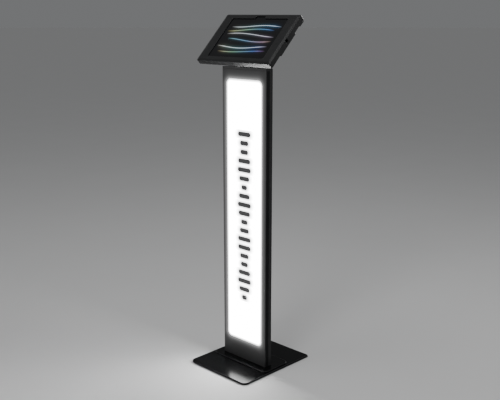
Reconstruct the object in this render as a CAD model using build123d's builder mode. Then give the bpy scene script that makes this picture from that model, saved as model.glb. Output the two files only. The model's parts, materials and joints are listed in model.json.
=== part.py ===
from build123d import *
import os
from math import cos, radians, sin

os.makedirs("parts", exist_ok=True)

# All lengths are in millimetres and all angles in degrees.
# The origin is on the floor under the middle of the base, with the post's front facing -Y.

# Cuts run this far past the face that they open.
overrun = 4.0

# Corners of a hexagon, and a quarter turn
hex_corners = 6
quarter_turn = 90.0

# Clearances
screw_gap = 0.1
running_gap = 0.05
slide_gap = 0.2
moving_gap = 0.3

# Base
base_side = 8.0
base_depth = 307.4
base_front_corner = 18.0
base_rear_corner = 6.0
base_thickness = 6.0
base_bevel = 1.2
pad_radius = 14.0
pad_height = 2.0
pad_inset = 34.0

# Foot flange that carries the post on the base
flange_side = 25.5
flange_front = 28.6
flange_rear = 58.0
flange_corner = 18.0
flange_thickness = 3.5
flange_bevel = 1.0

# Post, a slim light box of folded sheet
post_front = -27.0
sheet = 1.5
fold_radius = 1.0
fascia_depth = 3.4
shell_depth = 13.6
cover_depth = 13.0
cap_height = 7.0
cap_wall = 2.5
cap_roof = 3.0
cap_round = 0.8

# Lit window and the sheets behind it
window_width = 156.0
window_height = 865.5
window_side_border = 17.0
window_top_border = 29.5
window_corner = 17.5
window_bottom = 64.5
panel_lap = 6.25
panel_thickness = 3.0
guide_thickness = 8.0
reflector_thickness = 1.5
guide_side_step = 2.5
strip_thickness = 2.7
strip_depth = 6.0

# Brackets and fasteners inside the post
bracket_thickness = 4.0
foot_leg_thickness = 5.0
foot_leg_height = 40.0
foot_side_gap = 13.5
post_bolt_radius = 3.0
post_bolt_head_radius = 6.0
post_bolt_spacing = 60.0
post_bolt_count = 3
fixing_radius = 2.0
fixing_head_radius = 3.5
fixing_head_height = 1.8
foot_fixing_inset = 35.0
top_side_gap = 38.5
top_leg_height = 60.0
top_leg_thickness = 3.0
top_fixing_inset = 15.0
standoff_radius = 4.0
standoff_columns = 2
standoff_rows = 4
standoff_inset = 12.0
standoff_end_inset = 44.75
cover_screw_radius = 1.5
cover_screw_head_radius = 2.8
cover_screw_head_height = 1.5

# Light supply on the rear cover
service_height = 42.0
driver_width = 60.0
driver_length = 130.0
driver_depth = 9.5
driver_height = 240.0
driver_ear = 8.0
driver_ear_thickness = 1.5
inlet_place = 52.0
inlet_bezel_radius = 7.5
inlet_bezel_height = 1.5
inlet_barrel_radius = 5.6
inlet_barrel_depth = 9.0
inlet_bore_radius = 2.9
inlet_pin_radius = 1.0
inlet_bore_depth = 8.0
switch_place = 14.0
switch_bezel_width = 15.0
switch_bezel_height = 21.0
switch_bezel_lip = 1.5
switch_body_width = 12.6
switch_body_height = 18.8
switch_body_depth = 9.5
rocker_width = 9.4
rocker_height = 14.0
rocker_pivot_depth = 4.5
rocker_proud = 2.4
rocker_angle = 7.0
rocker_pin_radius = 1.2
rocker_floor = 2.0
rocker_end_gap = 1.0
entry_place = -50.0
grommet_bore_radius = 4.0
grommet_groove_radius = 6.0
grommet_flange_radius = 7.5
grommet_flange = 1.5
outlet_side_inset = 20.0
outlet_setback = 10.6

# Neck and tilt hinge
neck_half_width = 43.3
neck_thickness = 3.0
neck_end_inset = 3.0
ear_radius = 12.0
pivot_height = 30.0
pivot_radius = 4.0
friction_washer_radius = 10.0
friction_washer_space = 0.8
outer_washer_radius = 8.5
outer_washer_thickness = 1.0
bolt_head_radius = 7.0
bolt_head_height = 4.5
nut_radius = 7.5
nut_height = 5.0
bolt_tip = 1.5
neck_bolt_radius = 2.5
neck_bolt_head_radius = 4.5
neck_bolt_head_height = 2.8
neck_bolt_spacing_x = 56.0
neck_bolt_spacing_y = 14.0

# Head, set on a slope: lengths along the slope start at its front edge,
# and depths are measured down from its top plane
head_slope_angle = 45.4
head_side_border = 34.2
head_end_border = 8.25
head_corner = 5.0
pivot_slope = 55.9
pivot_depth = 42.5
lid_sheet = 2.0
bevel_width = 8.0
bevel_drop = 3.0
front_skirt = 20.0
side_skirt = 19.0
aperture_side_lap = 4.3
aperture_end_lap = 9.75
aperture_corner = 5.0
camera_notch_width = 42.0
camera_notch_depth = 9.0
camera_notch_corner = 4.0
slot_width = 11.5

# Rear pan of the head
pan_side_gap = 1.5
pan_front_gap = 2.0
pan_rear_gap = 3.0
pan_sheet = 1.5
pan_rim_depth = 4.5
pan_depth = 17.5
pan_corner = 5.0
well_near_inset = 49.0
well_far_inset = 48.0
well_depth = 9.6
well_corner = 3.0
well_bevel = 1.0

# Tablet
tablet_width = 248.6
tablet_height = 179.5
tablet_thickness = 6.0
tablet_corner = 14.0
tablet_depth = 3.0
tablet_back_round = 2.2
glass_thickness = 1.0
glass_inset = 1.0
camera_radius = 2.2
camera_length = 2.0
camera_edge = 4.6
port_width = 9.0
port_height = 2.8
port_length = 6.0
button_height = 2.4
button_length = 11.0
button_depth = 1.4
button_proud = 0.5
button_travel = 0.3
power_from_corner = 22.0
volume_from_corner = 26.0
volume_spacing = 14.0
cushion_reach_in = 14.0
cushion_reach_along = 34.0
cushion_top_depth = 5.2
gasket_thickness = 0.7
gasket_width = 3.0

# Lid hinge
knuckle_radius = 4.5
hinge_pin_radius = 1.5
hinge_leaf = 1.5
hinge_end_inset = 3.5
knuckle_count = 7
pan_leaf_width = 18.5
pan_leaf_thickness = 8.5
lid_leaf_top = 6.5
lid_leaf_inset = 3.0
knuckle_relief = 0.5

# Lock at the middle of the front edge
lock_slope = 16.5
lock_radius = 8.0
lock_case_width = 28.0
lock_case_length = 24.0
lock_case_height = 13.0
lock_case_corner = 4.0
lock_case_bevel = 1.2
lock_face_radius = 8.8
lock_face_height = 1.2
lock_inner_depth = 13.2
lock_nut_radius = 11.0
lock_nut_height = 2.0
plug_radius = 5.5
plug_end_depth = 10.8
plug_neck_radius = 3.0
key_slot_length = 7.0
key_slot_width = 1.4
key_slot_depth = 5.0
cam_depth = 11.2
cam_thickness = 1.5
cam_width = 9.0
cam_length = 11.8
keeper_width = 16.0
keeper_sheet = 1.2
keeper_reach = 4.5
keeper_gap = 0.4
keeper_height = 6.0
keeper_notch_width = 26.0

# Tilt bracket under the head
tilt_plate = 2.5
tilt_plate_length = 44.0
tilt_plate_gap = 2.0
tilt_foot_inset = 3.0
tilt_screw_radius = 2.0
tilt_screw_head_radius = 3.6
tilt_screw_head_height = 2.0
tilt_screw_tip = 2.0
tilt_screw_spacing_x = 54.0
tilt_screw_spacing_slope = 30.0
pan_grommet_slope = 84.0

# Sizes, levels and places that follow from the sizes above
post_width = window_width + 2 * window_side_border
post_height = window_bottom + window_height + window_top_border
base_width = post_width + 2 * (flange_side + base_side)
base_top = pad_height + base_thickness
post_bottom = base_top + flange_thickness
cap_bottom = post_bottom + post_height
post_top = cap_bottom + cap_height
post_depth = fascia_depth + shell_depth + cover_depth
post_rear = post_front + post_depth
shell_front = post_front + fascia_depth
shell_rear = shell_front + shell_depth
shell_wall_front = shell_rear - sheet
cover_inner = post_rear - sheet
inner_half_width = post_width / 2 - sheet
foot_half_width = inner_half_width - foot_side_gap
foot_fixing_spacing = 2 * (foot_half_width - foot_fixing_inset)
top_half_width = inner_half_width - top_side_gap
top_fixing_spacing = 2 * (top_half_width - top_fixing_inset)
outlet_place = post_width / 2 - outlet_side_inset
panel_front = post_front + sheet
guide_front = panel_front + panel_thickness
reflector_front = guide_front + guide_thickness
foam_front = reflector_front + reflector_thickness
window_middle = post_bottom + window_bottom + window_height / 2
panel_width = window_width + 2 * panel_lap
panel_height = window_height + 2 * panel_lap
guide_width = panel_width - 2 * guide_side_step
strip_start = guide_width / 2
rail_start = strip_start + strip_thickness
pivot_y = post_front + post_depth / 2
pivot_z = post_top + pivot_height
service_z = post_bottom + service_height
outlet_y = post_rear - outlet_setback

head_width = tablet_width + 2 * head_side_border
head_slope = tablet_height + 2 * head_end_border
aperture_width = tablet_width - 2 * aperture_side_lap
aperture_slope = tablet_height - 2 * aperture_end_lap
slope_cos = cos(radians(head_slope_angle))
slope_sin = sin(radians(head_slope_angle))
head_y = pivot_y - pivot_slope * slope_cos - pivot_depth * slope_sin
head_z = pivot_z - pivot_slope * slope_sin + pivot_depth * slope_cos
head = Plane(origin=(0, head_y, head_z), x_dir=(1, 0, 0), z_dir=(0, -slope_sin, slope_cos))
head_side = Plane(origin=head.origin, x_dir=head.y_dir, z_dir=(1, 0, 0))
head_up = Axis(head.origin, head.z_dir)
middle_slope = head_slope / 2

pan_half_width = head_width / 2 - lid_sheet - pan_side_gap
pan_start = lid_sheet + pan_front_gap
pan_end = head_slope - lid_sheet - pan_rear_gap
pan_length = pan_end - pan_start
pan_middle = (pan_start + pan_end) / 2
pan_floor_depth = pan_depth - pan_sheet
well_start = pan_start + well_near_inset
well_end = pan_end - well_far_inset
well_bottom = pan_depth + well_depth
tablet_bottom = tablet_depth + tablet_thickness
hinge_slope = head_slope - lid_sheet - knuckle_radius
hinge_depth = pan_depth + knuckle_radius + moving_gap
hinge_length = head_width - 2 * hinge_end_inset
knuckle_spacing = hinge_length / knuckle_count
neck_inner = neck_half_width - neck_thickness
tilt_half_width = neck_inner - friction_washer_space
tilt_plate_start = well_start + tilt_plate_gap
tilt_plate_middle = tilt_plate_start + tilt_plate_length / 2
keeper_depth = cam_depth + cam_thickness + keeper_gap


def front_plane(y):
    """A plane that faces the front, at this distance behind the origin."""
    return Plane.XZ.offset(-y)


def rear_plane(y):
    """A plane that faces the rear, with X to the right as seen from the front."""
    return Plane(origin=(0, y, 0), x_dir=(-1, 0, 0), z_dir=(0, 1, 0))


def across(x):
    """A plane across the head, with its X along the slope and its Y out of the top."""
    return head_side.offset(x)


def ring_of_revolution(points):
    """A closed profile turned about its own Z axis."""
    with BuildPart() as turned:
        with BuildSketch(Plane.XZ):
            with BuildLine():
                Polyline(*points, close=True)
            make_face()
        revolve(axis=Axis.Z)
    return turned.part


def round_screw(radius, length, head_radius, head_height):
    """A screw with a low domed head on Z above 0 and its shank below."""
    dome = head_height / 2
    return ring_of_revolution([
        (0, head_height),
        (head_radius - dome, head_height),
        (head_radius, head_height - dome),
        (head_radius, 0),
        (radius, 0),
        (radius, -length),
        (0, -length),
    ])


def sunk_screw(radius, length, head_radius):
    """A countersunk screw whose flat head lies at 0 and whose shank goes down."""
    sink = head_radius - radius
    return ring_of_revolution([
        (0, 0),
        (head_radius, 0),
        (radius, -sink),
        (radius, -length),
        (0, -length),
    ])


def grommet(wall):
    """A rubber ring on Z that grips a wall from 0 down to its thickness."""
    return ring_of_revolution([
        (grommet_bore_radius, grommet_flange),
        (grommet_flange_radius, grommet_flange),
        (grommet_flange_radius, 0),
        (grommet_groove_radius, 0),
        (grommet_groove_radius, -wall),
        (grommet_flange_radius, -wall),
        (grommet_flange_radius, -wall - grommet_flange),
        (grommet_bore_radius, -wall - grommet_flange),
    ])


def finish_part(part, label):
    """Labels a sub-part and writes it to its own file."""
    part.label = label
    export_step(part, f"parts/{label}.step")


post_bolt_y = shell_front + bracket_thickness
post_bolt_points = [
    ((index - (post_bolt_count - 1) / 2) * post_bolt_spacing, post_bolt_y)
    for index in range(post_bolt_count)
]
under_base = Plane(origin=(0, 0, pad_height), x_dir=(1, 0, 0), z_dir=(0, 0, -1))
under_base_points = [(x, -y) for x, y in post_bolt_points]

# Base plate, bored and countersunk from below for the bolts that hold the post
with BuildPart() as base_plate:
    with BuildSketch(Plane.XY.offset(pad_height)) as base_outline:
        Rectangle(base_width, base_depth)
        fillet(base_outline.vertices().sort_by(Axis.Y)[-2:], base_rear_corner)
        fillet(base_outline.vertices().sort_by(Axis.Y)[:2], base_front_corner)
    extrude(amount=base_thickness)
    chamfer(base_plate.faces().sort_by(Axis.Z)[-1].edges(), base_bevel)
    with Locations(under_base):
        with Locations(*under_base_points):
            CounterSinkHole(
                post_bolt_radius + screw_gap,
                post_bolt_head_radius + screw_gap,
                depth=base_thickness + overrun,
                counter_sink_angle=quarter_turn,
            )
finish_part(base_plate.part, "base_plate")

# Rubber pads under the base's corners
with BuildPart() as base_pads:
    with BuildSketch(Plane.XY):
        with GridLocations(base_width - 2 * pad_inset, base_depth - 2 * pad_inset, 2, 2):
            Circle(pad_radius)
    extrude(amount=pad_height)
finish_part(base_pads.part, "base_pads")

# Flange plate between the base and the post
flange_width = post_width + 2 * flange_side
flange_length = flange_front + post_depth + flange_rear
flange_middle = post_front - flange_front + flange_length / 2
with BuildPart() as foot_flange:
    with BuildSketch(Plane.XY.offset(base_top)):
        with Locations((0, flange_middle)):
            RectangleRounded(flange_width, flange_length, flange_corner)
        with Locations(*post_bolt_points):
            Circle(post_bolt_radius + screw_gap, mode=Mode.SUBTRACT)
    extrude(amount=flange_thickness)
    chamfer(
        foot_flange.faces().sort_by(Axis.Z)[-1].outer_wire().edges(),
        flange_bevel,
    )
finish_part(foot_flange.part, "foot_flange")

# Angle inside the foot of the post, held down by the bolts
with BuildPart() as foot_bracket:
    with BuildSketch(Plane.XY.offset(post_bottom)):
        with Locations((0, (shell_front + shell_wall_front) / 2)):
            Rectangle(2 * foot_half_width, shell_wall_front - shell_front)
        with Locations(*post_bolt_points):
            Circle(post_bolt_radius + screw_gap, mode=Mode.SUBTRACT)
    extrude(amount=foot_leg_thickness)
    with BuildSketch(Plane.XY.offset(post_bottom + foot_leg_thickness)):
        with Locations((0, shell_wall_front - bracket_thickness / 2)):
            Rectangle(2 * foot_half_width, bracket_thickness)
    extrude(amount=foot_leg_height)
    with Locations(rear_plane(shell_wall_front)):
        with Locations((0, post_bottom + foot_leg_thickness + foot_leg_height / 2)):
            with GridLocations(foot_fixing_spacing, 0, 2, 1):
                Hole(fixing_radius + screw_gap, depth=bracket_thickness + overrun)
finish_part(foot_bracket.part, "foot_bracket")

post_bolt_length = base_thickness + flange_thickness + foot_leg_thickness
with BuildPart() as post_bolts:
    with Locations(under_base):
        with Locations(*under_base_points):
            add(sunk_screw(post_bolt_radius, post_bolt_length, post_bolt_head_radius))
finish_part(post_bolts.part, "post_bolts")

foot_fixing_z = post_bottom + foot_leg_thickness + foot_leg_height / 2
top_fixing_z = cap_bottom - top_leg_height / 2
driver_z = post_bottom + driver_height
driver_fixing_spacing = driver_length + driver_ear
standoff_z = post_bottom + post_height / 2
standoff_spacing_x = post_width - 2 * standoff_inset
standoff_spacing_z = (post_height - 2 * standoff_end_inset) / (standoff_rows - 1)

# Main shell of the post, a channel that opens to the front
with BuildPart() as post_shell:
    with BuildSketch(Plane.XY.offset(post_bottom)):
        with Locations((0, (shell_front + shell_rear) / 2)):
            Rectangle(post_width, shell_depth)
        with Locations((0, (shell_front + shell_wall_front) / 2)):
            Rectangle(2 * inner_half_width, shell_depth - sheet, mode=Mode.SUBTRACT)
    extrude(amount=post_height)
    with Locations(rear_plane(shell_rear)):
        with Locations((0, foot_fixing_z)):
            with GridLocations(foot_fixing_spacing, 0, 2, 1):
                Hole(fixing_radius + screw_gap, depth=sheet + slide_gap)
        with Locations((0, top_fixing_z)):
            with GridLocations(top_fixing_spacing, 0, 2, 1):
                Hole(fixing_radius + screw_gap, depth=sheet + slide_gap)
        with Locations((0, driver_z)):
            with GridLocations(0, driver_fixing_spacing, 1, 2):
                Hole(cover_screw_radius + screw_gap, depth=sheet + slide_gap)
finish_part(post_shell.part, "post_shell")

foot_fixing_length = sheet + bracket_thickness
with BuildPart() as foot_screws:
    with Locations(rear_plane(shell_rear)):
        with Locations((0, foot_fixing_z)):
            with GridLocations(foot_fixing_spacing, 0, 2, 1):
                add(round_screw(
                    fixing_radius, foot_fixing_length, fixing_head_radius, fixing_head_height
                ))
finish_part(foot_screws.part, "foot_screws")

# Front fascia, a shallow folded frame round the lit window
with BuildPart() as post_fascia:
    with BuildSketch(front_plane(post_front)):
        with Locations((0, post_bottom + post_height / 2)):
            Rectangle(post_width, post_height)
    extrude(amount=-fascia_depth)
    fillet(
        post_fascia.edges().group_by(Axis.Y)[0].filter_by(Axis.Z),
        fold_radius,
    )
    with BuildSketch(front_plane(post_front + fascia_depth)):
        with Locations((0, post_bottom + post_height / 2)):
            Rectangle(2 * inner_half_width, post_height - 2 * sheet)
    extrude(amount=fascia_depth - sheet, mode=Mode.SUBTRACT)
    with BuildSketch(front_plane(post_front - overrun)):
        with Locations((0, window_middle)):
            RectangleRounded(window_width, window_height, window_corner)
    extrude(amount=-(sheet + 2 * overrun), mode=Mode.SUBTRACT)
finish_part(post_fascia.part, "post_fascia")

# Opal panel, light guide, reflector and foam backing, from front to rear
with BuildPart() as light_panel:
    with BuildSketch(front_plane(panel_front)):
        with Locations((0, window_middle)):
            Rectangle(panel_width, panel_height)
    extrude(amount=-panel_thickness)
finish_part(light_panel.part, "light_panel")

with BuildPart() as light_guide:
    with BuildSketch(front_plane(guide_front)):
        with Locations((0, window_middle)):
            Rectangle(guide_width, panel_height)
    extrude(amount=-guide_thickness)
finish_part(light_guide.part, "light_guide")

with BuildPart() as reflector_sheet:
    with BuildSketch(front_plane(reflector_front)):
        with Locations((0, window_middle)):
            Rectangle(guide_width, panel_height)
    extrude(amount=-reflector_thickness)
finish_part(reflector_sheet.part, "reflector_sheet")

with BuildPart() as backing_foam:
    with BuildSketch(front_plane(foam_front)):
        with Locations((0, window_middle)):
            Rectangle(guide_width, panel_height)
    extrude(amount=foam_front - shell_wall_front)
finish_part(backing_foam.part, "backing_foam")

# Rails along both sides of the shell, with a light strip on each
rail_width = inner_half_width - rail_start
with BuildPart() as led_rails:
    with BuildSketch(Plane.XY.offset(window_middle - panel_height / 2)):
        for side in (-1, 1):
            with Locations((side * (rail_start + rail_width / 2), (panel_front + shell_wall_front) / 2)):
                Rectangle(rail_width, shell_wall_front - panel_front)
    extrude(amount=panel_height)
finish_part(led_rails.part, "led_rails")

with BuildPart() as led_strips:
    with BuildSketch(Plane.XY.offset(window_middle - panel_height / 2)):
        for side in (-1, 1):
            with Locations((side * (strip_start + strip_thickness / 2), guide_front + guide_thickness / 2)):
                Rectangle(strip_thickness, strip_depth)
    extrude(amount=panel_height)
finish_part(led_strips.part, "led_strips")

# Rear cover, a channel that opens to the front over the light's supply
with BuildPart() as back_cover:
    with BuildSketch(Plane.XY.offset(post_bottom)):
        with Locations((0, (shell_rear + post_rear) / 2)):
            Rectangle(post_width, cover_depth)
        with Locations((0, (shell_rear + cover_inner) / 2)):
            Rectangle(2 * inner_half_width, cover_depth - sheet, mode=Mode.SUBTRACT)
    extrude(amount=post_height)
    fillet(
        back_cover.edges().group_by(Axis.Y)[-1].filter_by(Axis.Z),
        fold_radius,
    )
    with Locations(rear_plane(post_rear)):
        with Locations((0, standoff_z)):
            with GridLocations(standoff_spacing_x, standoff_spacing_z, standoff_columns, standoff_rows):
                Hole(cover_screw_radius + screw_gap, depth=sheet + slide_gap)
        with Locations((-inlet_place, service_z)):
            Hole(inlet_barrel_radius + screw_gap, depth=sheet + slide_gap)
        with Locations((-entry_place, service_z)):
            Hole(grommet_groove_radius + screw_gap, depth=sheet + slide_gap)
    with BuildSketch(rear_plane(post_rear)):
        with Locations((-switch_place, service_z)):
            Rectangle(
                switch_body_width + 2 * screw_gap,
                switch_body_height + 2 * screw_gap,
            )
    extrude(amount=-(sheet + slide_gap), mode=Mode.SUBTRACT)
finish_part(back_cover.part, "back_cover")

# Pillars that carry the rear cover, and its screws
with BuildPart() as cover_standoffs:
    with BuildSketch(rear_plane(shell_rear)):
        with Locations((0, standoff_z)):
            with GridLocations(standoff_spacing_x, standoff_spacing_z, standoff_columns, standoff_rows):
                RegularPolygon(standoff_radius, hex_corners)
                Circle(cover_screw_radius + screw_gap, mode=Mode.SUBTRACT)
    extrude(amount=cover_inner - shell_rear)
finish_part(cover_standoffs.part, "cover_standoffs")

cover_screw_length = sheet + (cover_inner - shell_rear) / 2
with BuildPart() as cover_screws:
    with Locations(rear_plane(post_rear)):
        with Locations((0, standoff_z)):
            with GridLocations(standoff_spacing_x, standoff_spacing_z, standoff_columns, standoff_rows):
                add(round_screw(
                    cover_screw_radius,
                    cover_screw_length,
                    cover_screw_head_radius,
                    cover_screw_head_height,
                ))
finish_part(cover_screws.part, "cover_screws")

# Supply box for the light strips, with an ear at each end
with BuildPart() as led_driver:
    with BuildSketch(rear_plane(shell_rear)):
        with Locations((0, driver_z)):
            Rectangle(driver_width, driver_length)
    extrude(amount=driver_depth)
    fillet(led_driver.edges().filter_by(Axis.Y), fold_radius)
    with BuildSketch(rear_plane(shell_rear)):
        with Locations((0, driver_z)):
            SlotCenterToCenter(driver_length + driver_ear, 2 * driver_ear, rotation=quarter_turn)
    extrude(amount=driver_ear_thickness)
    with Locations(rear_plane(shell_rear + driver_ear_thickness)):
        with Locations((0, driver_z)):
            with GridLocations(0, driver_fixing_spacing, 1, 2):
                Hole(cover_screw_radius + screw_gap, depth=driver_ear_thickness + slide_gap)
finish_part(led_driver.part, "led_driver")

driver_screw_length = driver_ear_thickness + sheet
with BuildPart() as driver_screws:
    with Locations(rear_plane(shell_rear + driver_ear_thickness)):
        with Locations((0, driver_z)):
            with GridLocations(0, driver_fixing_spacing, 1, 2):
                add(round_screw(
                    cover_screw_radius,
                    driver_screw_length,
                    cover_screw_head_radius,
                    cover_screw_head_height,
                ))
finish_part(driver_screws.part, "driver_screws")

# Round power inlet with its centre pin
inlet_axis = Plane(
    origin=(inlet_place, post_rear, service_z), x_dir=(-1, 0, 0), z_dir=(0, 1, 0)
)
with BuildPart() as power_inlet:
    with BuildSketch(inlet_axis):
        Circle(inlet_bezel_radius)
    extrude(amount=inlet_bezel_height)
    with BuildSketch(inlet_axis):
        Circle(inlet_barrel_radius)
    extrude(amount=-inlet_barrel_depth)
    with BuildSketch(inlet_axis.offset(inlet_bezel_height)):
        Circle(inlet_bore_radius)
        Circle(inlet_pin_radius, mode=Mode.SUBTRACT)
    extrude(amount=-inlet_bore_depth, mode=Mode.SUBTRACT)
finish_part(power_inlet.part, "power_inlet")

# Rocker switch: its frame, and the rocker that pivots in it
switch_axis = Plane(
    origin=(switch_place, post_rear, service_z), x_dir=(-1, 0, 0), z_dir=(0, 1, 0)
)
rocker_inner = post_rear - rocker_pivot_depth - rocker_floor
pocket_depth = rocker_pivot_depth + rocker_floor + 2 * moving_gap
with BuildPart() as switch_frame:
    with BuildSketch(switch_axis):
        RectangleRounded(switch_bezel_width, switch_bezel_height, switch_bezel_lip)
    extrude(amount=switch_bezel_lip)
    with BuildSketch(switch_axis):
        Rectangle(switch_body_width, switch_body_height)
    extrude(amount=-switch_body_depth)
    with BuildSketch(switch_axis.offset(switch_bezel_lip)):
        Rectangle(rocker_width + 2 * moving_gap, rocker_height + 2 * rocker_end_gap)
    extrude(amount=-(switch_bezel_lip + pocket_depth), mode=Mode.SUBTRACT)
    with BuildSketch(Plane.YZ.offset(switch_place - switch_body_width / 2)):
        with Locations((post_rear - rocker_pivot_depth, service_z)):
            Circle(rocker_pin_radius + running_gap)
    extrude(amount=switch_body_width, mode=Mode.SUBTRACT)
finish_part(switch_frame.part, "switch_frame")

rocker_pivot = Plane(
    origin=(switch_place, post_rear - rocker_pivot_depth, service_z),
    x_dir=(0, cos(radians(rocker_angle)), sin(radians(rocker_angle))),
    z_dir=(1, 0, 0),
)
rocker_face = rocker_pivot_depth + switch_bezel_lip
rocker_dip = rocker_height / 2 * sin(radians(2 * rocker_angle))
with BuildPart() as power_rocker:
    with BuildSketch(rocker_pivot.offset(-rocker_width / 2)):
        with BuildLine():
            Polyline(
                (-rocker_floor / 2, -rocker_height / 4),
                (rocker_face - rocker_dip / 2, -rocker_height / 2),
                (rocker_face + rocker_proud, -rocker_height / 2),
                (rocker_face, 0),
                (rocker_face + rocker_proud, rocker_height / 2),
                (rocker_face - rocker_dip / 2, rocker_height / 2),
                (-rocker_floor / 2, rocker_height / 4),
                close=True,
            )
        make_face()
    extrude(amount=rocker_width)
    with BuildSketch(rocker_pivot.offset(-switch_body_width / 2)):
        Circle(rocker_pin_radius)
    extrude(amount=switch_body_width)
finish_part(power_rocker.part, "power_rocker")

# Grommet where a lead enters the rear cover
with BuildPart() as entry_grommet:
    with Locations(rear_plane(post_rear)):
        with Locations((-entry_place, service_z)):
            add(grommet(sheet))
finish_part(entry_grommet.part, "entry_grommet")

neck_bolt_middle = (0, pivot_y)

# Cap over the top of the post
with BuildPart() as post_cap:
    with BuildSketch(Plane.XY.offset(cap_bottom)):
        with Locations((0, pivot_y)):
            Rectangle(post_width, post_depth)
    extrude(amount=cap_height)
    fillet(post_cap.edges().filter_by(Axis.Z), fold_radius)
    fillet(post_cap.faces().sort_by(Axis.Z)[-1].edges(), cap_round)
    with BuildSketch(Plane.XY.offset(cap_bottom)):
        with Locations((0, pivot_y)):
            Rectangle(post_width - 2 * cap_wall, post_depth - 2 * cap_wall)
    extrude(amount=cap_height - cap_roof, mode=Mode.SUBTRACT)
    with Locations(Plane.XY.offset(post_top)):
        with Locations(neck_bolt_middle):
            with GridLocations(neck_bolt_spacing_x, neck_bolt_spacing_y, 2, 2):
                Hole(neck_bolt_radius + screw_gap, depth=cap_roof + slide_gap)
        with Locations((outlet_place, outlet_y)):
            Hole(grommet_groove_radius + screw_gap, depth=cap_roof + slide_gap)
finish_part(post_cap.part, "post_cap")

# Angle under the cap, screwed to the rear of the shell
with BuildPart() as top_bracket:
    with BuildSketch(Plane.XY.offset(cap_bottom)):
        with Locations((0, pivot_y)):
            Rectangle(2 * top_half_width, post_depth - 2 * cap_wall)
    extrude(amount=cap_height - cap_roof)
    with BuildSketch(Plane.XY.offset(cap_bottom)):
        with Locations((0, shell_rear + top_leg_thickness / 2)):
            Rectangle(2 * top_half_width, top_leg_thickness)
    extrude(amount=-top_leg_height)
    with Locations(Plane.XY.offset(post_top - cap_roof)):
        with Locations(neck_bolt_middle):
            with GridLocations(neck_bolt_spacing_x, neck_bolt_spacing_y, 2, 2):
                Hole(neck_bolt_radius + screw_gap, depth=bracket_thickness + slide_gap)
    with Locations(rear_plane(shell_rear + top_leg_thickness)):
        with Locations((0, top_fixing_z)):
            with GridLocations(top_fixing_spacing, 0, 2, 1):
                Hole(fixing_radius + screw_gap, depth=top_leg_thickness + slide_gap)
finish_part(top_bracket.part, "top_bracket")

top_screw_length = top_leg_thickness + sheet
with BuildPart() as top_bracket_screws:
    with Locations(rear_plane(shell_rear + top_leg_thickness)):
        with Locations((0, top_fixing_z)):
            with GridLocations(top_fixing_spacing, 0, 2, 1):
                add(round_screw(
                    fixing_radius, top_screw_length, fixing_head_radius, fixing_head_height
                ))
finish_part(top_bracket_screws.part, "top_bracket_screws")

with BuildPart() as cap_grommet:
    with Locations(Plane.XY.offset(post_top)):
        with Locations((outlet_place, outlet_y)):
            add(grommet(cap_roof))
finish_part(cap_grommet.part, "cap_grommet")

# Fixed clevis of the tilt hinge, bolted through the cap
neck_length = post_depth - 2 * neck_end_inset
with BuildPart() as neck_bracket:
    with BuildSketch(Plane.XY.offset(post_top)):
        with Locations((0, pivot_y)):
            Rectangle(2 * neck_half_width, neck_length)
            with GridLocations(neck_bolt_spacing_x, neck_bolt_spacing_y, 2, 2):
                Circle(neck_bolt_radius + screw_gap, mode=Mode.SUBTRACT)
    extrude(amount=neck_thickness)
    for start in (-neck_half_width, neck_inner):
        with BuildSketch(Plane.YZ.offset(start)):
            with Locations((pivot_y, post_top + pivot_height / 2)):
                Rectangle(neck_length, pivot_height)
            with Locations((pivot_y, pivot_z)):
                Circle(ear_radius)
                Circle(pivot_radius + running_gap, mode=Mode.SUBTRACT)
        extrude(amount=neck_thickness)
finish_part(neck_bracket.part, "neck_bracket")

neck_bolt_length = neck_thickness + cap_height
with BuildPart() as neck_bolts:
    with Locations(Plane.XY.offset(post_top + neck_thickness)):
        with Locations(neck_bolt_middle):
            with GridLocations(neck_bolt_spacing_x, neck_bolt_spacing_y, 2, 2):
                add(round_screw(
                    neck_bolt_radius,
                    neck_bolt_length,
                    neck_bolt_head_radius,
                    neck_bolt_head_height,
                ))
finish_part(neck_bolts.part, "neck_bolts")

# Pivot bolt with its nut and washers
pivot_axis = Plane(origin=(0, pivot_y, pivot_z), x_dir=(0, 1, 0), z_dir=(1, 0, 0))
clamp_half = neck_half_width + outer_washer_thickness
with BuildPart() as tilt_bolt:
    with BuildSketch(pivot_axis.offset(-clamp_half)):
        Circle(pivot_radius)
    extrude(amount=2 * clamp_half + nut_height + bolt_tip)
    with BuildSketch(pivot_axis.offset(-clamp_half)):
        Circle(bolt_head_radius)
    extrude(amount=-bolt_head_height)
    chamfer(tilt_bolt.faces().sort_by(Axis.X)[0].edges(), bolt_tip)
finish_part(tilt_bolt.part, "tilt_bolt")

with BuildPart() as tilt_nut:
    with BuildSketch(pivot_axis.offset(clamp_half)):
        RegularPolygon(nut_radius, hex_corners)
        Circle(pivot_radius + screw_gap, mode=Mode.SUBTRACT)
    extrude(amount=nut_height)
finish_part(tilt_nut.part, "tilt_nut")

with BuildPart() as outer_washers:
    for start in (-clamp_half, neck_half_width):
        with BuildSketch(pivot_axis.offset(start)):
            Circle(outer_washer_radius)
            Circle(pivot_radius + screw_gap, mode=Mode.SUBTRACT)
        extrude(amount=outer_washer_thickness)
finish_part(outer_washers.part, "outer_washers")

friction_washer_thickness = friction_washer_space - screw_gap
with BuildPart() as friction_washers:
    for start in (-neck_inner, neck_inner - friction_washer_thickness):
        with BuildSketch(pivot_axis.offset(start)):
            Circle(friction_washer_radius)
            Circle(pivot_radius + screw_gap, mode=Mode.SUBTRACT)
        extrude(amount=friction_washer_thickness)
finish_part(friction_washers.part, "friction_washers")

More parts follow.
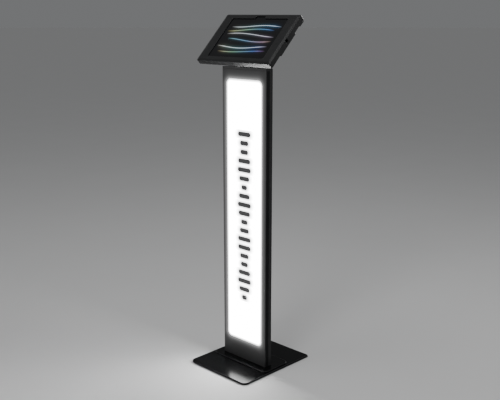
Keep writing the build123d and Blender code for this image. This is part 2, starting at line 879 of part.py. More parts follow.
# Moving clevis of the tilt hinge, screwed under the well of the pan
tilt_foot_start = tilt_plate_start + tilt_foot_inset
tilt_foot_end = tilt_plate_start + tilt_plate_length - tilt_foot_inset
with BuildPart() as tilt_bracket:
    with BuildSketch(head.offset(-well_bottom)):
        with Locations((0, tilt_plate_middle)):
            Rectangle(2 * tilt_half_width, tilt_plate_length)
            with GridLocations(tilt_screw_spacing_x, tilt_screw_spacing_slope, 2, 2):
                Circle(tilt_screw_radius + screw_gap, mode=Mode.SUBTRACT)
    extrude(amount=-tilt_plate)
    for start in (-tilt_half_width, tilt_half_width - tilt_plate):
        with BuildSketch(across(start)):
            with BuildLine():
                Polyline(
                    (tilt_foot_start, -well_bottom),
                    (tilt_foot_end, -well_bottom),
                    (pivot_slope + ear_radius, -pivot_depth),
                    (pivot_slope - ear_radius, -pivot_depth),
                    close=True,
                )
            make_face()
            with Locations((pivot_slope, -pivot_depth)):
                Circle(ear_radius)
                Circle(pivot_radius + running_gap, mode=Mode.SUBTRACT)
        extrude(amount=tilt_plate)
finish_part(tilt_bracket.part, "tilt_bracket")

under_tilt_plate = Plane(
    origin=head.offset(-(well_bottom + tilt_plate)).origin,
    x_dir=(1, 0, 0),
    z_dir=-head.z_dir,
)
tilt_screw_length = tilt_plate + pan_sheet + tilt_screw_tip
with BuildPart() as tilt_bracket_screws:
    with Locations(under_tilt_plate):
        with Locations((0, -tilt_plate_middle)):
            with GridLocations(tilt_screw_spacing_x, tilt_screw_spacing_slope, 2, 2):
                add(round_screw(
                    tilt_screw_radius,
                    tilt_screw_length,
                    tilt_screw_head_radius,
                    tilt_screw_head_height,
                ))
finish_part(tilt_bracket_screws.part, "tilt_bracket_screws")

# Rear pan that the tablet lies in, with a deeper well in its middle
well_middle = (well_start + well_end) / 2
well_length = well_end - well_start
slot_middle = middle_slope
with BuildPart() as rear_pan:
    with BuildSketch(head.offset(-pan_rim_depth)):
        with Locations((0, pan_middle)):
            RectangleRounded(2 * pan_half_width, pan_length, pan_corner)
    extrude(amount=-(pan_depth - pan_rim_depth))
    with BuildSketch(head.offset(-pan_depth)):
        with Locations((0, well_middle)):
            RectangleRounded(2 * pan_half_width, well_length, well_corner)
    extrude(amount=-well_depth)
    chamfer(
        rear_pan.faces().sort_by(head_up)[0].edges(),
        well_bevel,
    )
    with BuildSketch(head.offset(-pan_rim_depth)):
        with Locations((0, pan_middle)):
            RectangleRounded(
                2 * (pan_half_width - pan_sheet), pan_length - 2 * pan_sheet, pan_corner - pan_sheet
            )
    extrude(amount=-(pan_floor_depth - pan_rim_depth), mode=Mode.SUBTRACT)
    with BuildSketch(head.offset(-pan_floor_depth)):
        with Locations((0, well_middle)):
            RectangleRounded(
                2 * (pan_half_width - pan_sheet), well_length - 2 * pan_sheet, well_corner - pan_sheet
            )
    extrude(amount=-well_depth, mode=Mode.SUBTRACT)
    with BuildSketch(head.offset(-pan_rim_depth + overrun)):
        with Locations((pan_half_width - pan_sheet / 2, slot_middle)):
            Rectangle(pan_sheet + 2 * slide_gap, slot_width)
    extrude(amount=-(pan_floor_depth - pan_rim_depth + overrun), mode=Mode.SUBTRACT)
    with BuildSketch(head.offset(-pan_rim_depth + overrun)):
        with Locations((0, pan_start + pan_sheet / 2)):
            Rectangle(keeper_notch_width, pan_sheet + 2 * slide_gap)
    extrude(amount=-(pan_floor_depth - pan_rim_depth + overrun), mode=Mode.SUBTRACT)
    with Locations(head.offset(-pan_floor_depth)):
        with Locations((0, lock_slope)):
            Hole(lock_radius + screw_gap, depth=pan_sheet + slide_gap)
    with Locations(head.offset(-(well_bottom - pan_sheet))):
        with Locations((outlet_place, pan_grommet_slope)):
            Hole(grommet_groove_radius + screw_gap, depth=pan_sheet + slide_gap)
        with Locations((0, tilt_plate_middle)):
            with GridLocations(tilt_screw_spacing_x, tilt_screw_spacing_slope, 2, 2):
                Hole(tilt_screw_radius + screw_gap, depth=pan_sheet + slide_gap)
finish_part(rear_pan.part, "rear_pan")

with BuildPart() as pan_grommet:
    with Locations(head.offset(-(well_bottom - pan_sheet))):
        with Locations((outlet_place, pan_grommet_slope)):
            add(grommet(pan_sheet))
finish_part(pan_grommet.part, "pan_grommet")

# Tablet: its metal case, glass front and camera
tablet_middle = middle_slope
tablet_far = tablet_middle + tablet_height / 2
power_slope = tablet_far - power_from_corner
volume_x = [
    -tablet_width / 2 + volume_from_corner + index * volume_spacing for index in range(2)
]
button_middle_depth = tablet_depth + tablet_thickness / 2
pocket_length = button_length + 2 * slide_gap
pocket_height = button_height + 2 * slide_gap
pocket_in = button_depth - button_proud + button_travel + slide_gap
power_plane = Plane(
    origin=head.from_local_coords(Vector(-tablet_width / 2, power_slope, -button_middle_depth)),
    x_dir=head.y_dir,
    z_dir=(-1, 0, 0),
)
volume_planes = [
    Plane(
        origin=head.from_local_coords(Vector(x, tablet_far, -button_middle_depth)),
        x_dir=(1, 0, 0),
        z_dir=head.y_dir,
    )
    for x in volume_x
]
port_plane = Plane(
    origin=head.from_local_coords(Vector(tablet_width / 2, tablet_middle, -button_middle_depth)),
    x_dir=head.y_dir,
    z_dir=(1, 0, 0),
)
with BuildPart() as tablet_case:
    with BuildSketch(head.offset(-tablet_depth)):
        with Locations((0, tablet_middle)):
            RectangleRounded(tablet_width, tablet_height, tablet_corner)
    extrude(amount=-tablet_thickness)
    fillet(
        tablet_case.edges().sort_by(SortBy.DISTANCE).filter_by(
            lambda edge: abs(head.to_local_coords(edge.center()).Z + tablet_bottom) < slide_gap
        ),
        tablet_back_round,
    )
    with BuildSketch(head.offset(-tablet_depth)):
        with Locations((0, tablet_middle)):
            RectangleRounded(
                tablet_width - 2 * glass_inset,
                tablet_height - 2 * glass_inset,
                tablet_corner - glass_inset,
            )
    extrude(amount=-glass_thickness, mode=Mode.SUBTRACT)
    for plane in (power_plane, *volume_planes):
        with BuildSketch(plane):
            Rectangle(pocket_length, pocket_height)
        extrude(amount=-pocket_in, mode=Mode.SUBTRACT)
    with BuildSketch(port_plane):
        SlotOverall(port_width, port_height)
    extrude(amount=-port_length, mode=Mode.SUBTRACT)
    with BuildSketch(head.offset(-(tablet_depth + glass_thickness))):
        with Locations((0, tablet_far - camera_edge)):
            Circle(camera_radius + screw_gap)
    extrude(amount=-camera_length, mode=Mode.SUBTRACT)
finish_part(tablet_case.part, "tablet_case")

with BuildPart() as tablet_glass:
    with BuildSketch(head.offset(-tablet_depth)):
        with Locations((0, tablet_middle)):
            RectangleRounded(
                tablet_width - 2 * (glass_inset + screw_gap),
                tablet_height - 2 * (glass_inset + screw_gap),
                tablet_corner - glass_inset - screw_gap,
            )
    extrude(amount=-glass_thickness)
finish_part(tablet_glass.part, "tablet_glass")

with BuildPart() as tablet_camera:
    with BuildSketch(head.offset(-(tablet_depth + glass_thickness))):
        with Locations((0, tablet_far - camera_edge)):
            Circle(camera_radius)
    extrude(amount=-camera_length)
finish_part(tablet_camera.part, "tablet_camera")

# Push buttons in the tablet's edge
button_planes = {
    "power_button": power_plane,
    "volume_down_button": volume_planes[0],
    "volume_up_button": volume_planes[1],
}
for button_name, plane in button_planes.items():
    with BuildPart() as button:
        with BuildSketch(plane.offset(button_proud)):
            RectangleRounded(button_length, button_height, button_height / 3)
        extrude(amount=-button_depth)
    finish_part(button.part, button_name)

# Foam blocks that hold the tablet's corners in the pan
cushion_out = pan_half_width - pan_sheet
cushion_in = tablet_width / 2 - cushion_reach_in
cushion_near = pan_start + pan_sheet
cushion_far = pan_end - pan_sheet
with BuildPart() as corner_cushions:
    with BuildSketch(head.offset(-cushion_top_depth)):
        for side in (-1, 1):
            for start in (cushion_near, cushion_far - cushion_reach_along):
                with Locations((side * (cushion_in + cushion_out) / 2, start + cushion_reach_along / 2)):
                    Rectangle(cushion_out - cushion_in, cushion_reach_along)
    extrude(amount=-(pan_floor_depth - cushion_top_depth))
    with BuildSketch(head.offset(-cushion_top_depth + overrun)):
        with Locations((0, tablet_middle)):
            RectangleRounded(
                tablet_width + 2 * moving_gap,
                tablet_height + 2 * moving_gap,
                tablet_corner + moving_gap,
            )
    extrude(amount=-(tablet_bottom - cushion_top_depth + overrun), mode=Mode.SUBTRACT)
    with BuildSketch(head.offset(-cushion_top_depth + overrun)):
        with Locations((0, pan_middle)):
            Rectangle(2 * pan_half_width + overrun, pan_length + overrun)
            RectangleRounded(
                2 * cushion_out, pan_length - 2 * pan_sheet, pan_corner - pan_sheet, mode=Mode.SUBTRACT
            )
    extrude(amount=-(pan_depth + overrun), mode=Mode.SUBTRACT)
    with BuildSketch(head.offset(-cushion_top_depth + overrun)):
        with Locations((-tablet_width / 2, power_slope)):
            Rectangle(2 * (button_proud + slide_gap), pocket_length)
        for x in volume_x:
            with Locations((x, tablet_far)):
                Rectangle(pocket_length, 2 * (button_proud + slide_gap))
    extrude(amount=-(tablet_bottom - cushion_top_depth + overrun), mode=Mode.SUBTRACT)
finish_part(corner_cushions.part, "corner_cushions")

# Lid: a bevelled frame with a skirt, open over the screen
bevel_slant = (bevel_width**2 + bevel_drop**2) ** 0.5
bevel_inner_drop = lid_sheet * bevel_slant / bevel_width
bevel_inner_width = (bevel_drop + bevel_inner_drop - lid_sheet) * bevel_width / bevel_drop
inner_width = head_width - 2 * lid_sheet
inner_slope = head_slope - 2 * lid_sheet
inner_corner = head_corner - lid_sheet
inner_shift = lid_sheet * bevel_drop / bevel_width
inner_top_inset = bevel_inner_width - lid_sheet
with BuildPart() as front_cover:
    with BuildSketch(head.offset(-bevel_drop)):
        with Locations((0, middle_slope)):
            RectangleRounded(head_width, head_slope, head_corner)
    extrude(amount=-(front_skirt - bevel_drop))
    with BuildSketch(head.offset(-bevel_drop)):
        with Locations((0, middle_slope)):
            RectangleRounded(head_width, head_slope, head_corner)
    with BuildSketch(head):
        with Locations((0, middle_slope)):
            RectangleRounded(
                head_width - 2 * bevel_width, head_slope - 2 * bevel_width, head_corner
            )
    loft(ruled=True)
    with BuildSketch(head.offset(-(bevel_drop + bevel_inner_drop - inner_shift))):
        with Locations((0, middle_slope)):
            RectangleRounded(inner_width, inner_slope, inner_corner)
    with BuildSketch(head.offset(-lid_sheet)):
        with Locations((0, middle_slope)):
            RectangleRounded(
                inner_width - 2 * inner_top_inset, inner_slope - 2 * inner_top_inset, inner_corner
            )
    loft(ruled=True, mode=Mode.SUBTRACT)
    with BuildSketch(head.offset(-(bevel_drop + bevel_inner_drop - inner_shift))):
        with Locations((0, middle_slope)):
            RectangleRounded(inner_width, inner_slope, inner_corner)
    extrude(amount=-(front_skirt + overrun), mode=Mode.SUBTRACT)
    with BuildSketch(head.offset(-side_skirt)):
        with Locations((0, middle_slope + lid_sheet)):
            Rectangle(head_width + overrun, head_slope)
    extrude(amount=-(front_skirt + overrun), mode=Mode.SUBTRACT)
    with BuildSketch(head.offset(overrun)):
        with Locations((0, middle_slope)):
            RectangleRounded(aperture_width, aperture_slope, aperture_corner)
        with Locations((0, middle_slope + aperture_slope / 2)):
            RectangleRounded(camera_notch_width, 2 * camera_notch_depth, camera_notch_corner)
    extrude(amount=-(lid_sheet + 2 * overrun), mode=Mode.SUBTRACT)
    with BuildSketch(head.offset(-bevel_drop)):
        with Locations((head_width / 2 - lid_sheet / 2, slot_middle)):
            Rectangle(lid_sheet + 2 * slide_gap, slot_width)
    extrude(amount=-(front_skirt + overrun), mode=Mode.SUBTRACT)
finish_part(front_cover.part, "front_cover")

# Thin foam frame under the lid that bears on the glass
gasket_outer_width = aperture_width + 2 * gasket_width
gasket_outer_slope = aperture_slope + 2 * gasket_width
with BuildPart() as lid_gasket:
    with BuildSketch(head.offset(-lid_sheet)):
        with Locations((0, middle_slope)):
            RectangleRounded(gasket_outer_width, gasket_outer_slope, aperture_corner)
            RectangleRounded(
                aperture_width + gasket_thickness,
                aperture_slope + gasket_thickness,
                aperture_corner,
                mode=Mode.SUBTRACT,
            )
        with Locations((0, middle_slope + gasket_outer_slope / 2)):
            Rectangle(camera_notch_width + 2 * gasket_thickness, 4 * gasket_width, mode=Mode.SUBTRACT)
    extrude(amount=-gasket_thickness)
finish_part(lid_gasket.part, "lid_gasket")

# Long hinge at the rear edge: a thick leaf under the pan and a thin one in the lid,
# whose knuckles take turns along one pin
knuckle_starts = [
    -hinge_length / 2 + index * knuckle_spacing + moving_gap / 2 for index in range(knuckle_count)
]
knuckle_length = knuckle_spacing - moving_gap
hinge_hole = hinge_pin_radius + running_gap
relief_radius = knuckle_radius + knuckle_relief
with BuildPart() as pan_hinge_leaf:
    with BuildSketch(head.offset(-pan_depth)):
        with Locations((0, hinge_slope - pan_leaf_width / 2)):
            Rectangle(hinge_length, pan_leaf_width)
    extrude(amount=-pan_leaf_thickness)
    for start in knuckle_starts[1::2]:
        with BuildSketch(across(start - moving_gap)):
            with Locations((hinge_slope, -hinge_depth)):
                Circle(relief_radius)
        extrude(amount=knuckle_length + 2 * moving_gap, mode=Mode.SUBTRACT)
    for start in knuckle_starts[::2]:
        with BuildSketch(across(start)):
            with Locations((hinge_slope, -hinge_depth)):
                Circle(knuckle_radius)
        extrude(amount=knuckle_length)
    with BuildSketch(across(-hinge_length / 2 - overrun)):
        with Locations((hinge_slope, -hinge_depth)):
            Circle(hinge_hole)
    extrude(amount=hinge_length + 2 * overrun, mode=Mode.SUBTRACT)
finish_part(pan_hinge_leaf.part, "pan_hinge_leaf")

lid_leaf_outer = hinge_slope + knuckle_radius
with BuildPart() as lid_hinge_leaf:
    with BuildSketch(head.offset(-lid_leaf_top)):
        with Locations((0, lid_leaf_outer - hinge_leaf / 2)):
            Rectangle(hinge_length - 2 * lid_leaf_inset, hinge_leaf)
    extrude(amount=-(hinge_depth - lid_leaf_top))
    for start in knuckle_starts[::2]:
        with BuildSketch(across(start - moving_gap)):
            with Locations((hinge_slope, -hinge_depth)):
                Circle(relief_radius)
        extrude(amount=knuckle_length + 2 * moving_gap, mode=Mode.SUBTRACT)
    for start in knuckle_starts[1::2]:
        with BuildSketch(across(start)):
            with Locations((hinge_slope, -hinge_depth)):
                Circle(knuckle_radius)
                Circle(hinge_hole, mode=Mode.SUBTRACT)
        extrude(amount=knuckle_length)
finish_part(lid_hinge_leaf.part, "lid_hinge_leaf")

with BuildPart() as hinge_pin:
    with BuildSketch(across(-hinge_length / 2)):
        with Locations((hinge_slope, -hinge_depth)):
            Circle(hinge_pin_radius)
    extrude(amount=hinge_length)
finish_part(hinge_pin.part, "hinge_pin")

# Cam lock: its housing in the pan, its nut, the plug that turns and the cam on it
lock_axis = head.offset(-pan_depth)
lock_face_depth = pan_depth + lock_case_height + lock_face_height
with BuildPart() as lock_body:
    with BuildSketch(lock_axis):
        with Locations((0, lock_slope)):
            RectangleRounded(lock_case_width, lock_case_length, lock_case_corner)
    extrude(amount=-lock_case_height)
    chamfer(
        lock_body.faces().sort_by(head_up)[0].edges(),
        lock_case_bevel,
    )
    with BuildSketch(head.offset(-lock_face_depth)):
        with Locations((0, lock_slope)):
            Circle(lock_face_radius)
    extrude(amount=lock_face_height)
    with BuildSketch(lock_axis):
        with Locations((0, lock_slope)):
            Circle(lock_radius)
    extrude(amount=pan_depth - lock_inner_depth)
    with BuildSketch(head.offset(-(lock_face_depth + overrun))):
        with Locations((0, lock_slope)):
            Circle(plug_radius + running_gap)
    extrude(amount=lock_face_depth + overrun, mode=Mode.SUBTRACT)
finish_part(lock_body.part, "lock_body")

with BuildPart() as lock_nut:
    with BuildSketch(head.offset(-pan_floor_depth)):
        with Locations((0, lock_slope)):
            RegularPolygon(lock_nut_radius, hex_corners)
            Circle(lock_radius + screw_gap, mode=Mode.SUBTRACT)
    extrude(amount=lock_nut_height)
finish_part(lock_nut.part, "lock_nut")

cam_back = cam_depth + cam_thickness
with BuildPart() as lock_plug:
    with BuildSketch(head.offset(-lock_face_depth)):
        with Locations((0, lock_slope)):
            Circle(plug_radius)
    extrude(amount=lock_face_depth - cam_back)
    with BuildSketch(head.offset(-cam_back)):
        with Locations((0, lock_slope)):
            Rectangle(2 * plug_neck_radius, 2 * plug_neck_radius)
    extrude(amount=cam_back - plug_end_depth)
    with BuildSketch(head.offset(-lock_face_depth)):
        with Locations((0, lock_slope)):
            Rectangle(key_slot_width, key_slot_length)
    extrude(amount=key_slot_depth, mode=Mode.SUBTRACT)
finish_part(lock_plug.part, "lock_plug")

with BuildPart() as lock_cam:
    with BuildSketch(head.offset(-cam_depth)):
        with Locations((cam_length / 2, lock_slope)):
            Rectangle(cam_length, cam_width)
        with Locations((0, lock_slope)):
            Circle(cam_width / 2)
            Rectangle(
                2 * (plug_neck_radius + screw_gap),
                2 * (plug_neck_radius + screw_gap),
                mode=Mode.SUBTRACT,
            )
    extrude(amount=-cam_thickness)
finish_part(lock_cam.part, "lock_cam")

# Keeper on the inside of the lid's front skirt, which the turned cam holds down
with BuildPart() as lock_keeper:
    with BuildSketch(across(-keeper_width / 2)):
        with BuildLine():
            Polyline(
                (lid_sheet, -(keeper_depth - keeper_height)),
                (lid_sheet + keeper_sheet, -(keeper_depth - keeper_height)),
                (lid_sheet + keeper_sheet, -keeper_depth),
                (lid_sheet + keeper_reach, -keeper_depth),
                (lid_sheet + keeper_reach, -(keeper_depth + keeper_sheet)),
                (lid_sheet, -(keeper_depth + keeper_sheet)),
                close=True,
            )
        make_face()
    extrude(amount=keeper_width)
finish_part(lock_keeper.part, "lock_keeper")

hinge_place = head.from_local_coords(Vector(0, hinge_slope, -hinge_depth))
lock_place = head.from_local_coords(Vector(0, lock_slope, -lock_face_depth))
rocker_place = (switch_place, post_rear - rocker_pivot_depth, service_z)
print("tilt pivot", (0, pivot_y, pivot_z))
print("lid hinge", tuple(hinge_place))
print("lock axis", tuple(lock_place), "along", tuple(head.z_dir))
print("slope direction", tuple(head.y_dir))
print("rocker pivot", rocker_place)
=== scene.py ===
import json
import math

import bmesh
import bpy
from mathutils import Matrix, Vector
from mathutils.bvhtree import BVHTree


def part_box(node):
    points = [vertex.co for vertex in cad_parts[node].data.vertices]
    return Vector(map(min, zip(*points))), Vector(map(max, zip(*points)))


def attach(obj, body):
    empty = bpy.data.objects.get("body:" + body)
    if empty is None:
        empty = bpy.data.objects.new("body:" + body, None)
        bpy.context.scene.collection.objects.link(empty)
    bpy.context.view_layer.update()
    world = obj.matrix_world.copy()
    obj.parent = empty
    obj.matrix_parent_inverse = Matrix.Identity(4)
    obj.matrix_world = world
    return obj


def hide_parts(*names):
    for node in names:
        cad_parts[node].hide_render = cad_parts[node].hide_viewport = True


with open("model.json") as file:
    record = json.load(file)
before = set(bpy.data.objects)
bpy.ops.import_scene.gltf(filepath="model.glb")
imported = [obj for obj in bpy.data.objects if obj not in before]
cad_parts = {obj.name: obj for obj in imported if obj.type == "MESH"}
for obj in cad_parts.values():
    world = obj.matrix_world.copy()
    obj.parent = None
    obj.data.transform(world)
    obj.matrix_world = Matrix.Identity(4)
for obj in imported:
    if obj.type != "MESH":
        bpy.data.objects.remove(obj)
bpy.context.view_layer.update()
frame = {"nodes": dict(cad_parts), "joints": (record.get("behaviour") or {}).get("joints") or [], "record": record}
nodes = frame["nodes"]
record = frame["record"]
bodyOf = {node: body for body, members in record["behaviour"]["bodies"].items() for node in members}
slotOf = {row["node"]: row["material_slot"] for row in record["subparts"]}
print("frame loaded:", len(nodes), "nodes")

# metres throughout, in the same frame as the CAD
camera = {
    "place": (1.7327, -1.7565, 1.1423),
    "pitch": 13.398,  # degrees below the horizon
    "turn": 44.599,  # degrees to the left of +Y
    "lens": 56.70,
    "sensor": 36.0,
    "near": 0.05,
    "far": 60.0,
}

eye = bpy.data.cameras.new("camera")
eye.lens = camera["lens"]
eye.sensor_width = camera["sensor"]
eye.clip_start = camera["near"]
eye.clip_end = camera["far"]
eyeObject = bpy.data.objects.new("camera", eye)
eyeObject.location = camera["place"]
eyeObject.rotation_euler = (math.radians(90 - camera["pitch"]), 0, math.radians(camera["turn"]))
bpy.context.scene.collection.objects.link(eyeObject)
bpy.context.scene.camera = eyeObject
print("camera placed")

# the head lies on a slope, read from the lock's axis
lockJoint = next(joint for joint in frame["joints"] if joint["name"] == "lock_turn")
headUp = -Vector(lockJoint["axis"]).normalized()  # out of the screen
headAlong = headUp.cross(Vector((1, 0, 0)))  # up the slope
slopeAngle = math.atan2(headAlong.z, headAlong.y)
glassCorners = [vert.co for vert in nodes["tablet_glass"].data.vertices]
glassTop = max(point.dot(headUp) for point in glassCorners)
glassAlong = [point.dot(headAlong) for point in glassCorners]
glassMiddle = 0.5 * (max(glassAlong) + min(glassAlong))


# node helpers for the materials

def startMaterial(name):
    material = bpy.data.materials.new(name)
    material.use_nodes = True
    tree = material.node_tree
    shader = tree.nodes["Principled BSDF"]
    return material, tree, shader


def objectCoords(tree):
    return tree.nodes.new("ShaderNodeTexCoord").outputs["Object"]


def splitUp(tree, vector):
    node = tree.nodes.new("ShaderNodeSeparateXYZ")
    tree.links.new(vector, node.inputs["Vector"])
    return node


def noise(tree, coords, scale, detail=4.0, roughness=0.5):
    node = tree.nodes.new("ShaderNodeTexNoise")
    node.inputs["Scale"].default_value = scale
    node.inputs["Detail"].default_value = detail
    node.inputs["Roughness"].default_value = roughness
    tree.links.new(coords, node.inputs["Vector"])
    return node.outputs["Fac"]


def stretched(tree, coords, scale):
    node = tree.nodes.new("ShaderNodeMapping")
    node.inputs["Scale"].default_value = scale
    tree.links.new(coords, node.inputs["Vector"])
    return node.outputs["Vector"]


def remap(tree, value, fromLow, fromHigh, toLow, toHigh):
    node = tree.nodes.new("ShaderNodeMapRange")
    node.inputs["From Min"].default_value = fromLow
    node.inputs["From Max"].default_value = fromHigh
    node.inputs["To Min"].default_value = toLow
    node.inputs["To Max"].default_value = toHigh
    tree.links.new(value, node.inputs["Value"])
    return node.outputs["Result"]


def calc(tree, operation, first, second=None):
    node = tree.nodes.new("ShaderNodeMath")
    node.operation = operation
    for index, value in enumerate((first, second)):
        if value is None:
            continue
        if isinstance(value, (int, float)):
            node.inputs[index].default_value = value
        else:
            tree.links.new(value, node.inputs[index])
    return node.outputs["Value"]


def product(tree, first, *others):
    for other in others:
        first = calc(tree, "MULTIPLY", first, other)
    return first


def distance(tree, across, along):
    # how far two offsets at right angles reach together
    squares = [calc(tree, "POWER", value, 2.0) for value in (across, along)]
    return calc(tree, "SQRT", calc(tree, "ADD", *squares))


def blendColours(tree, factor, first, second):
    node = tree.nodes.new("ShaderNodeMix")
    node.data_type = "RGBA"
    tree.links.new(factor, node.inputs["Factor"])
    for name, value in (("A", first), ("B", second)):
        socket = next(s for s in node.inputs if s.name == name and s.type == "RGBA")
        if isinstance(value, tuple):
            socket.default_value = (*value, 1.0)
        else:
            tree.links.new(value, socket)
    return next(s for s in node.outputs if s.type == "RGBA")


def addBump(tree, shader, height, strength, depth):
    node = tree.nodes.new("ShaderNodeBump")
    node.inputs["Strength"].default_value = strength
    node.inputs["Distance"].default_value = depth
    tree.links.new(height, node.inputs["Height"])
    tree.links.new(node.outputs["Normal"], shader.inputs["Normal"])


# in the looks below a noise is (scale, detail, roughness), or the last two where the call gives the scale

coatLook = {
    "clouds": (9.0, 5.0, 0.6),
    "cloudRange": (0.35, 0.7),
    "grain": (3.0, 0.55),
    "smudge": (30.0, 4.0, 0.6),
    "smudgeStretch": (1.0, 1.0, 0.25),
    "smudgeRange": (0.3, 0.72),
    "fleckRange": (0.66, 0.8),
    "fleckShare": 0.35,
    "fleckGain": 3.0,
    "bump": 0.35,
}


def coatedSteel(name, dark, light, roughLow, roughHigh, peelScale, peelDepth, specular):
    # powder coat: two close tones, fine orange peel, faint cloudy gloss
    material, tree, shader = startMaterial(name)
    coords = objectCoords(tree)
    clouds = noise(tree, coords, *coatLook["clouds"])
    grain = noise(tree, coords, peelScale, *coatLook["grain"])
    smudge = noise(tree, stretched(tree, coords, coatLook["smudgeStretch"]), *coatLook["smudge"])
    tone = blendColours(tree, remap(tree, clouds, *coatLook["cloudRange"], 0.0, 1.0), dark, light)
    fleck = remap(tree, grain, *coatLook["fleckRange"], 0.0, coatLook["fleckShare"])
    fleckTone = tuple(coatLook["fleckGain"] * c for c in light)
    tree.links.new(blendColours(tree, fleck, tone, fleckTone), shader.inputs["Base Color"])
    gloss = remap(tree, smudge, *coatLook["smudgeRange"], roughLow, roughHigh)
    tree.links.new(gloss, shader.inputs["Roughness"])
    shader.inputs["Specular IOR Level"].default_value = specular
    addBump(tree, shader, grain, coatLook["bump"], peelDepth)
    return material


window = {
    "lap": 0.00625,  # of the fascia over the panel's edge
    "corner": 0.0175,
}


def pastWindow(tree, split):
    # metres past the lit window's rounded outline, less than zero inside it
    low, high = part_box("light_panel")
    corner = window["corner"]
    straightX = (high.x - low.x) / 2 - window["lap"] - corner
    straightZ = (high.z - low.z) / 2 - window["lap"] - corner
    offZ = calc(tree, "SUBTRACT", split.outputs["Z"], (high.z + low.z) / 2)
    overX = calc(tree, "SUBTRACT", calc(tree, "ABSOLUTE", split.outputs["X"]), straightX)
    overZ = calc(tree, "SUBTRACT", calc(tree, "ABSOLUTE", offZ), straightZ)
    outside = distance(tree, calc(tree, "MAXIMUM", overX, 0.0), calc(tree, "MAXIMUM", overZ, 0.0))
    inside = calc(tree, "MINIMUM", calc(tree, "MAXIMUM", overX, overZ), 0.0)
    return calc(tree, "SUBTRACT", calc(tree, "ADD", outside, inside), corner)


# painted glow on the fascia and cap: emission standing in for the panel's light spilling round the window and
# thrown back from the head
paintedGlow = {
    "fade": 0.0048,
    "wideFade": 0.042,
    "wideShare": 0.11,
    "under": 0.025,  # painted light, standing in for light thrown back by the head's underside
    "underRange": (-0.015, 0.02),  # from the panel's top
    "front": -0.0265,
    "strength": 0.46,
}


def paintedGlowCoat(name, *coat):
    # a coat with a painted glow: the panel's light spilling over the window's rounded edge, painted on as emission
    material = coatedSteel(name, *coat)
    tree = material.node_tree
    shader = tree.nodes["Principled BSDF"]
    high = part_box("light_panel")[1]
    split = splitUp(tree, objectCoords(tree))
    away = calc(tree, "MAXIMUM", pastWindow(tree, split), 0.0)
    near = calc(tree, "EXPONENT", calc(tree, "DIVIDE", away, -paintedGlow["fade"]))
    wide = calc(tree, "EXPONENT", calc(tree, "DIVIDE", away, -paintedGlow["wideFade"]))
    fall = calc(tree, "ADD", near, product(tree, wide, paintedGlow["wideShare"]))
    underLow, underHigh = (high.z + offset for offset in paintedGlow["underRange"])
    under = remap(tree, split.outputs["Z"], underLow, underHigh, 0.0, paintedGlow["under"])
    facing = calc(tree, "LESS_THAN", split.outputs["Y"], paintedGlow["front"])
    level = product(tree, calc(tree, "ADD", fall, under), facing, paintedGlow["strength"])
    shader.inputs["Emission Color"].default_value = (1.0, 1.0, 1.0, 1.0)
    tree.links.new(level, shader.inputs["Emission Strength"])
    return material


edgeWear = {
    "patches": (45.0, 6.0, 0.7),
    "patchRange": (0.48, 0.72),
    "nicks": (420.0, 4.0, 0.6),
    "nickRange": (0.4, 0.62),
    "leastNick": 0.15,
    "polish": 0.7,
    "specular": 0.22,
    "bump": 0.15,
    "depth": 0.00004,
}


def wornEdge(name, coat, bare, rough):
    # the coat along folded edges, polished and thinned by handling
    material, tree, shader = startMaterial(name)
    coords = objectCoords(tree)
    nicks = noise(tree, coords, *edgeWear["nicks"])
    patch = remap(tree, noise(tree, coords, *edgeWear["patches"]), *edgeWear["patchRange"], 0.0, 1.0)
    rub = product(tree, patch, remap(tree, nicks, *edgeWear["nickRange"], edgeWear["leastNick"], 1.0))
    tree.links.new(blendColours(tree, rub, coat, bare), shader.inputs["Base Color"])
    polish = remap(tree, rub, 0.0, 1.0, rough, rough * edgeWear["polish"])
    tree.links.new(polish, shader.inputs["Roughness"])
    shader.inputs["Specular IOR Level"].default_value = edgeWear["specular"]
    addBump(tree, shader, nicks, edgeWear["bump"], edgeWear["depth"])
    return material


plateLook = {
    "grain": (4.0, 0.6),
    "grainRange": (0.3, 0.7),
    "stain": (35.0, 4.0, 0.6),
    "roughest": 1.25,
    "smoothest": 0.8,
    "bump": 0.2,
    "depth": 0.00003,
}


def platedMetal(name, dark, light, roughness, grainScale, stretch):
    # metal with a fine grain and faint stains
    material, tree, shader = startMaterial(name)
    coords = objectCoords(tree)
    grain = noise(tree, stretched(tree, coords, stretch), grainScale, *plateLook["grain"])
    stain = noise(tree, coords, *plateLook["stain"])
    tree.links.new(blendColours(tree, stain, dark, light), shader.inputs["Base Color"])
    low, high = roughness * plateLook["smoothest"], roughness * plateLook["roughest"]
    tree.links.new(remap(tree, grain, *plateLook["grainRange"], low, high), shader.inputs["Roughness"])
    shader.inputs["Metallic"].default_value = 1.0
    addBump(tree, shader, grain, plateLook["bump"], plateLook["depth"])
    return material


polymerLook = {
    "grain": (3.0, 0.6),
    "grainRange": (0.3, 0.7),
    "dust": (25.0, 5.0, 0.65),
    "dustRange": (0.4, 0.75),
    "roughSpan": 0.06,
    "bump": 0.4,
}


def mattePolymer(name, dark, light, roughness, grainScale, depth):
    # moulded or sheet plastic, foam and rubber with a fine grain and a little dust
    material, tree, shader = startMaterial(name)
    coords = objectCoords(tree)
    grain = noise(tree, coords, grainScale, *polymerLook["grain"])
    dust = remap(tree, noise(tree, coords, *polymerLook["dust"]), *polymerLook["dustRange"], 0.0, 1.0)
    tree.links.new(blendColours(tree, dust, dark, light), shader.inputs["Base Color"])
    low, high = roughness - polymerLook["roughSpan"], roughness + polymerLook["roughSpan"]
    tree.links.new(remap(tree, grain, *polymerLook["grainRange"], low, high), shader.inputs["Roughness"])
    addBump(tree, shader, grain, polymerLook["bump"], depth)
    return material


rockerMarks = {
    "ringPlace": -0.0038,
    "barPlace": 0.0038,
    "ring": 0.0013,
    "stroke": 0.00028,
    "depth": 0.004,
    "paint": (0.7, 0.7, 0.7),
}


